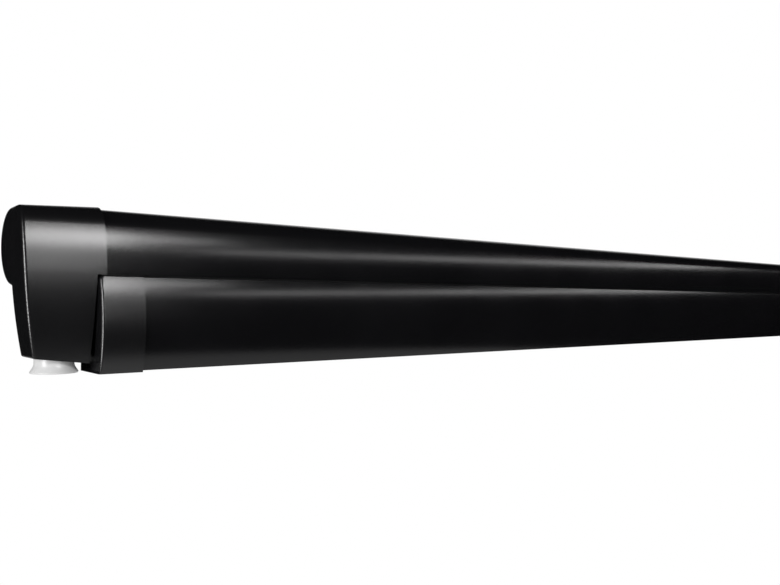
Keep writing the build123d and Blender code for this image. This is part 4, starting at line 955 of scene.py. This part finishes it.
@dataclass
class Cloth:
    """The free cloth between the roll and the lead rail, closed in its slot and open over the arms."""

    bench: Bench
    slot_back: float = -40.0
    slot_front: float = -67.6
    shoulder: Point = (-1205.0, -58.0)
    elbow: Point = (-145.0, -71.0)
    wrist: Point = (-1205.0, -84.0)
    open_angle: float = 71.0
    lap: float = 14.0
    overhang: float = 20.0
    elbow_overhang: float = 6.0
    elbow_trim: float = 18.0
    elbow_level: float = 3.2
    wrist_level: float = 3.8
    shoulder_level: float = 4.4
    level_step: float = 0.4
    thickness: float = 0.3
    rows: int = 40
    columns: int = 24
    passes: int = 30

    def build(self) -> None:
        """Build the fans that together make the open cloth."""
        for fan in self._fans():
            piece = self._shut(fan)
            if fan.name == "cloth_left_shoulder":
                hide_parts("fabric_free")
        self.bench.dressed("fabric_keder")

    @staticmethod
    def _turned(pivot: Point, point: Point, angle: float) -> Point:
        """Turn a point about a pivot.

        Args:
            pivot: The pivot.
            point: The point.
            angle: The angle in degrees, from +X towards +Y.

        Returns:
            The turned point.
        """
        sweep = math.radians(angle)
        dx, dy = point[0] - pivot[0], point[1] - pivot[1]
        return (pivot[0] + dx * math.cos(sweep) - dy * math.sin(sweep),
                pivot[1] + dx * math.sin(sweep) + dy * math.cos(sweep))

    def _fans(self) -> list[ClothFan]:
        """Work out where each fan lies with the awning open.

        Returns:
            The fans.
        """
        fans = []
        for side in Side:
            hand = -side.value
            shoulder, elbow, wrist = ((hand * x, y) for x, y in (self.shoulder, self.elbow, self.wrist))
            fold = hand * self.open_angle
            open_elbow = self._turned(shoulder, elbow, -fold)
            open_wrist = self._turned(open_elbow, self._turned(shoulder, wrist, -fold), 2 * fold)
            edge_x = shoulder[0] - hand * self.overhang
            arm_length = abs(elbow[0] - shoulder[0])
            width = abs(edge_x) + abs(shoulder[0])
            shift = 0.0 if side is Side.LEFT else self.level_step
            arm, fore = f"{side.word}_upper_arm", f"{side.word}_forearm"
            fans.append(ClothFan(f"cloth_{side.word}_shoulder", ("cassette", arm), shoulder, shoulder, hand,
                                 -fold, 0.0, hand * self.lap, open_elbow[1] - self.lap, width,
                                 self.shoulder_level + shift, self.overhang))
            fans.append(ClothFan(f"cloth_{side.word}_elbow", (arm, fore), elbow, open_elbow, -hand, 2 * fold,
                                 -fold, edge_x, math.nan, arm_length - self.elbow_trim, self.elbow_level,
                                 self.elbow_overhang))
            if side is Side.LEFT:
                fans.append(ClothFan("cloth_front", (fore, "lead_rail"), wrist, open_wrist, hand, -fold, fold,
                                     -edge_x, open_elbow[1] + self.lap, width, self.wrist_level,
                                     self.overhang))
        return fans

    def _reach(self, fan: ClothFan, rise: float, weight: float) -> float:
        """How far from its pivot a line of the cloth goes.

        Args:
            fan: The fan.
            rise: The line's distance behind the pivot at rest.
            weight: How far it turns, as a share of the fan's turn.

        Returns:
            The distance.
        """
        radius = fan.longest
        for _ in range(self.passes):
            lean = fan.way * math.degrees(math.asin(max(-1.0, min(1.0, rise / radius))))
            heading = 90.0 - 90.0 * fan.way + lean + weight * fan.turn + fan.base_turn
            cosine, sine = math.cos(math.radians(heading)), math.sin(math.radians(heading))
            limits = [fan.longest]
            if (fan.side_x - fan.open_pivot[0]) * cosine > 0:
                limits.append((fan.side_x - fan.open_pivot[0]) / cosine)
            if not math.isnan(fan.edge_y) and (fan.edge_y - fan.open_pivot[1]) * sine > 0:
                limits.append((fan.edge_y - fan.open_pivot[1]) / sine)
            radius = (radius + min(limits)) / 2
        return radius

    def _shut(self, fan: ClothFan) -> Thing:
        """Build one fan, lying shut.

        Args:
            fan: The fan.

        Returns:
            Its object.
        """
        shape = bmesh.new()
        bmesh.ops.create_grid(shape, x_segments=self.columns, y_segments=self.rows, size=0.5)
        weave = shape.loops.layers.uv.new("weave")
        opened: dict[bmesh.types.BMVert, Point] = {}
        near_x = fan.pivot[0] - fan.way * fan.behind
        for corner in shape.verts:
            along = (corner.co.x + 0.5) ** 2
            weight = min(1.0, max(0.0, corner.co.y + 0.5))
            # The rows are spaced across the slot by the inverse of a smooth step in their weight.
            share = 0.5 - math.sin(math.asin(1 - 2 * weight) / 3)
            y = self.slot_back + share * (self.slot_front - self.slot_back)
            rise = y - fan.pivot[1]
            reach = self._reach(fan, rise, weight)
            far_x = fan.pivot[0] + fan.way * math.sqrt(reach**2 - rise**2)
            rest = (near_x + along * (far_x - near_x), y)
            corner.co = (*rest, fan.level)
            turned = self._turned(fan.pivot, rest, weight * fan.turn + fan.base_turn)
            opened[corner] = (turned[0] - fan.pivot[0] + fan.open_pivot[0],
                              turned[1] - fan.pivot[1] + fan.open_pivot[1])
        for face in shape.faces:
            for loop in face.loops:
                loop[weave].uv = (opened[loop.vert][0] * MM, opened[loop.vert][1] * MM)
        area = sum(face.calc_area() for face in shape.faces)
        made = bmesh.ops.extrude_face_region(shape, geom=shape.faces[:], use_keep_orig=True)
        lower = [part for part in made["geom"] if isinstance(part, bmesh.types.BMVert)]
        bmesh.ops.translate(shape, vec=(0, 0, -self.thickness), verts=lower)
        piece = self.bench.piece(fan.name, shape, None, "cloth")
        piece.data.shade_flat()
        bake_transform(piece)
        return piece


@dataclass(frozen=True)
class CapForms:
    """The smooth forms that the end caps and the lead rail's caps are moulded to."""

    hood: Point = (44.6, 12.0)
    brow: Point = (-60.02, 45.99)
    head: Point = (-38.5, 36.0)
    brow_start: float = 162.0
    leg_height: float = 77.9
    leg_slope: float = 1.2
    leg_bend: float = 8.8
    rail: Point = (25.33, -30.0)
    taper: float = 3.0
    width: float = 65.0

    def end_cap(self, side: Side) -> SmoothForm:
        """The end cap's form at one end.

        Args:
            side: Which end.

        Returns:
            The form.
        """
        return SmoothForm(self._cap_direction, side.value * math.degrees(math.atan(self.taper / self.width)))

    def rail_cap(self) -> SmoothForm:
        """The form of the lead rail's cap.

        Returns:
            The form.
        """
        return SmoothForm(lambda y, z: math.degrees(math.atan2(z - self.rail[1], y - self.rail[0])))

    def _cap_direction(self, y: float, z: float) -> float:
        """The end cap's surface direction.

        Args:
            y: The place along Y in millimetres.
            z: The height in millimetres.

        Returns:
            The direction in degrees, from +Y towards +Z.
        """
        if z < self.hood[1]:
            down = min(1.0, (self.hood[1] - z) / self.leg_height)
            return 180.0 + math.degrees(math.atan(down * (self.leg_slope / 2 + 2 * self.leg_bend)
                                                  / self.leg_height))
        if y >= self.head[0]:
            return math.degrees(math.atan2(z - self.head[1], y - self.head[0]))
        if y >= self.brow[0]:
            return 90.0
        over_hood = math.degrees(math.atan2(z - self.hood[1], y - self.hood[0]))
        if over_hood >= self.brow_start:
            return over_hood
        return math.degrees(math.atan2(z - self.brow[1], y - self.brow[0]))


@dataclass
class Fittings:
    """The moulded, cast and turned parts that keep their solid shapes and get edges, shading and finish."""

    SIDE_PARTS = ("upper_arm_tube", "shoulder_knuckle", "elbow_fork", "elbow_pin", "arm_spring",
                  "forearm_tube", "elbow_eye", "wrist_knuckle", "shoulder_bracket", "wrist_bracket",
                  "leg_bracket", "leg_head", "leg_tube", "leg_collar", "leg_lock", "leg_inner", "foot_fork",
                  "foot")
    SHARED_NODES = ("wall_brackets", "bracket_screws", "shoulder_pins", "wrist_pins")

    bench: Bench
    moulded_edge: float = 1.3
    moulded_crease: float = 28.0
    fine_edge: float = 0.2

    def build(self) -> None:
        """Dress every part that no other class has built."""
        forms = CapForms()
        for side in Side:
            for part, form in (("end_cap", forms.end_cap(side)), ("lead_rail_cap", forms.rail_cap())):
                self.bench.moulded(f"{side.word}_{part}", form, self.moulded_edge, self.moulded_crease)
            for part in self.SIDE_PARTS:
                self.bench.dressed(f"{side.word}_{part}", 0.0 if part == "arm_spring" else self.fine_edge)
        for node in self.SHARED_NODES:
            self.bench.dressed(node, self.fine_edge)


@dataclass(frozen=True)
class Lamp:
    """A soft rectangular lamp, in metres and watts, that faces the object."""

    name: str
    place: Triple
    size: Point
    power: float


@dataclass
class Studio:
    """The camera at the photograph's place, soft lamps, a pale floor and a white surround."""

    LAMPS = (Lamp("key_panel", (-0.58, -3.0, 1.85), (1.05, 0.76), 46.0),
             Lamp("low_panel", (-0.85, -3.0, 0.8), (0.8, 1.3), 13.0),
             Lamp("near_panel", (0.2, -3.0, 1.97), (0.6, 0.24), 3.5),
             Lamp("long_panel", (2.75, -3.0, 1.82), (4.5, 0.26), 15.0),
             Lamp("edge_panel", (-4.2, -1.0, 0.0), (0.8, 2.6), 130.0))

    eye: Triple = (-1.4389, -0.7263, -0.0157)
    heading: float = 51.27
    tilt: float = 1.151
    lens: float = 34.14
    sensor: float = 36.0
    clip: Point = (0.01, 60.0)
    floor_z: float = -2.35
    floor_radius: float = 4.4
    floor_steps: int = 96
    floor_tone: float = 0.72
    floor_roughness: float = 0.9
    lamp_aim: float = 0.5
    ambient: float = 0.75
    backdrop_narrow: float = 0.92
    backdrop_wide: float = 0.72

    def build(self) -> None:
        """Set up the whole studio."""
        bpy.context.scene.view_settings.view_transform = "Standard"
        self._camera()
        self._floor()
        self._surround()
        for lamp in self.LAMPS:
            self._hang(lamp)

    def _camera(self) -> None:
        """Place the camera."""
        data = bpy.data.cameras.new("photo_camera")
        data.lens = self.lens
        data.sensor_width = self.sensor
        data.sensor_fit = "HORIZONTAL"
        data.clip_start, data.clip_end = self.clip
        camera = bpy.data.objects.new("photo_camera", data)
        camera.location = self.eye
        camera.rotation_euler = (math.radians(90 + self.tilt), 0, math.radians(self.heading - 90))
        bpy.context.scene.collection.objects.link(camera)
        bpy.context.scene.camera = camera

    def _floor(self) -> None:
        """Lay a pale floor under the open legs."""
        shape = bmesh.new()
        bmesh.ops.create_circle(shape, cap_ends=True, segments=self.floor_steps, radius=self.floor_radius,
                                matrix=Matrix.Translation((0, 0, self.floor_z)))
        mesh = bpy.data.meshes.new("floor")
        shape.to_mesh(mesh)
        shape.free()
        floor = bpy.data.objects.new("floor", mesh)
        bpy.context.scene.collection.objects.link(floor)
        material = bpy.data.materials.new("pale_floor")
        material.use_nodes = True
        feed(material.node_tree, material.node_tree.nodes["Principled BSDF"],
             {"Base Color": (self.floor_tone,) * 3, "Roughness": self.floor_roughness})
        mesh.materials.append(material)

    def _surround(self) -> None:
        """Make the surround white to the camera and, for reflections, white only behind the object."""
        world = bpy.data.worlds.new("surround")
        bpy.context.scene.world = world
        world.use_nodes = True
        tree = world.node_tree
        ray = put(tree, "LightPath", {})
        place = put(tree, "TexCoord", {})
        turn = math.radians(self.heading)
        way = (math.cos(turn), math.sin(turn), 0.0)
        facing = put(tree, "VectorMath", {0: place.outputs["Generated"], 1: way})
        facing.operation = "DOT_PRODUCT"
        spread = put(tree, "MapRange", {"Value": facing.outputs["Value"], "From Min": self.backdrop_wide,
                                        "From Max": self.backdrop_narrow})
        spread.interpolation_type = "SMOOTHSTEP"
        mirrored = reckon(tree, "MAXIMUM", ray.outputs["Is Glossy Ray"], ray.outputs["Is Transmission Ray"])
        behind = reckon(tree, "MULTIPLY", mirrored, spread.outputs["Result"])
        lit = reckon(tree, "MULTIPLY", ray.outputs["Is Diffuse Ray"], self.ambient)
        total = reckon(tree, "MAXIMUM", reckon(tree, "ADD", behind, lit), ray.outputs["Is Camera Ray"])
        feed(tree, tree.nodes["Background"], {"Color": (1.0, 1.0, 1.0), "Strength": total})

    def _hang(self, lamp: Lamp) -> None:
        """Hang a lamp.

        Args:
            lamp: The lamp.
        """
        data = bpy.data.lights.new(lamp.name, "AREA")
        data.shape = "RECTANGLE"
        data.size, data.size_y = lamp.size
        data.energy = lamp.power
        panel = bpy.data.objects.new(lamp.name, data)
        panel.location = lamp.place
        aim = Vector((lamp.place[0] * self.lamp_aim, 0, 0)) - Vector(lamp.place)
        panel.rotation_euler = aim.to_track_quat("-Z", "Y").to_euler()
        bpy.context.scene.collection.objects.link(panel)


def main() -> None:
    """Build the whole scene."""
    logging.basicConfig(level=logging.INFO, format="%(name)s: %(message)s")
    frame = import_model()
    bench = Bench(frame, PaintShop(EffectGroups()))
    for group in (Cassette, LeadRail, CrankDrive, RollerDrum, Fittings, Cloth):
        group(bench).build()
    Studio().build()


if __name__ == "__main__":
    main()
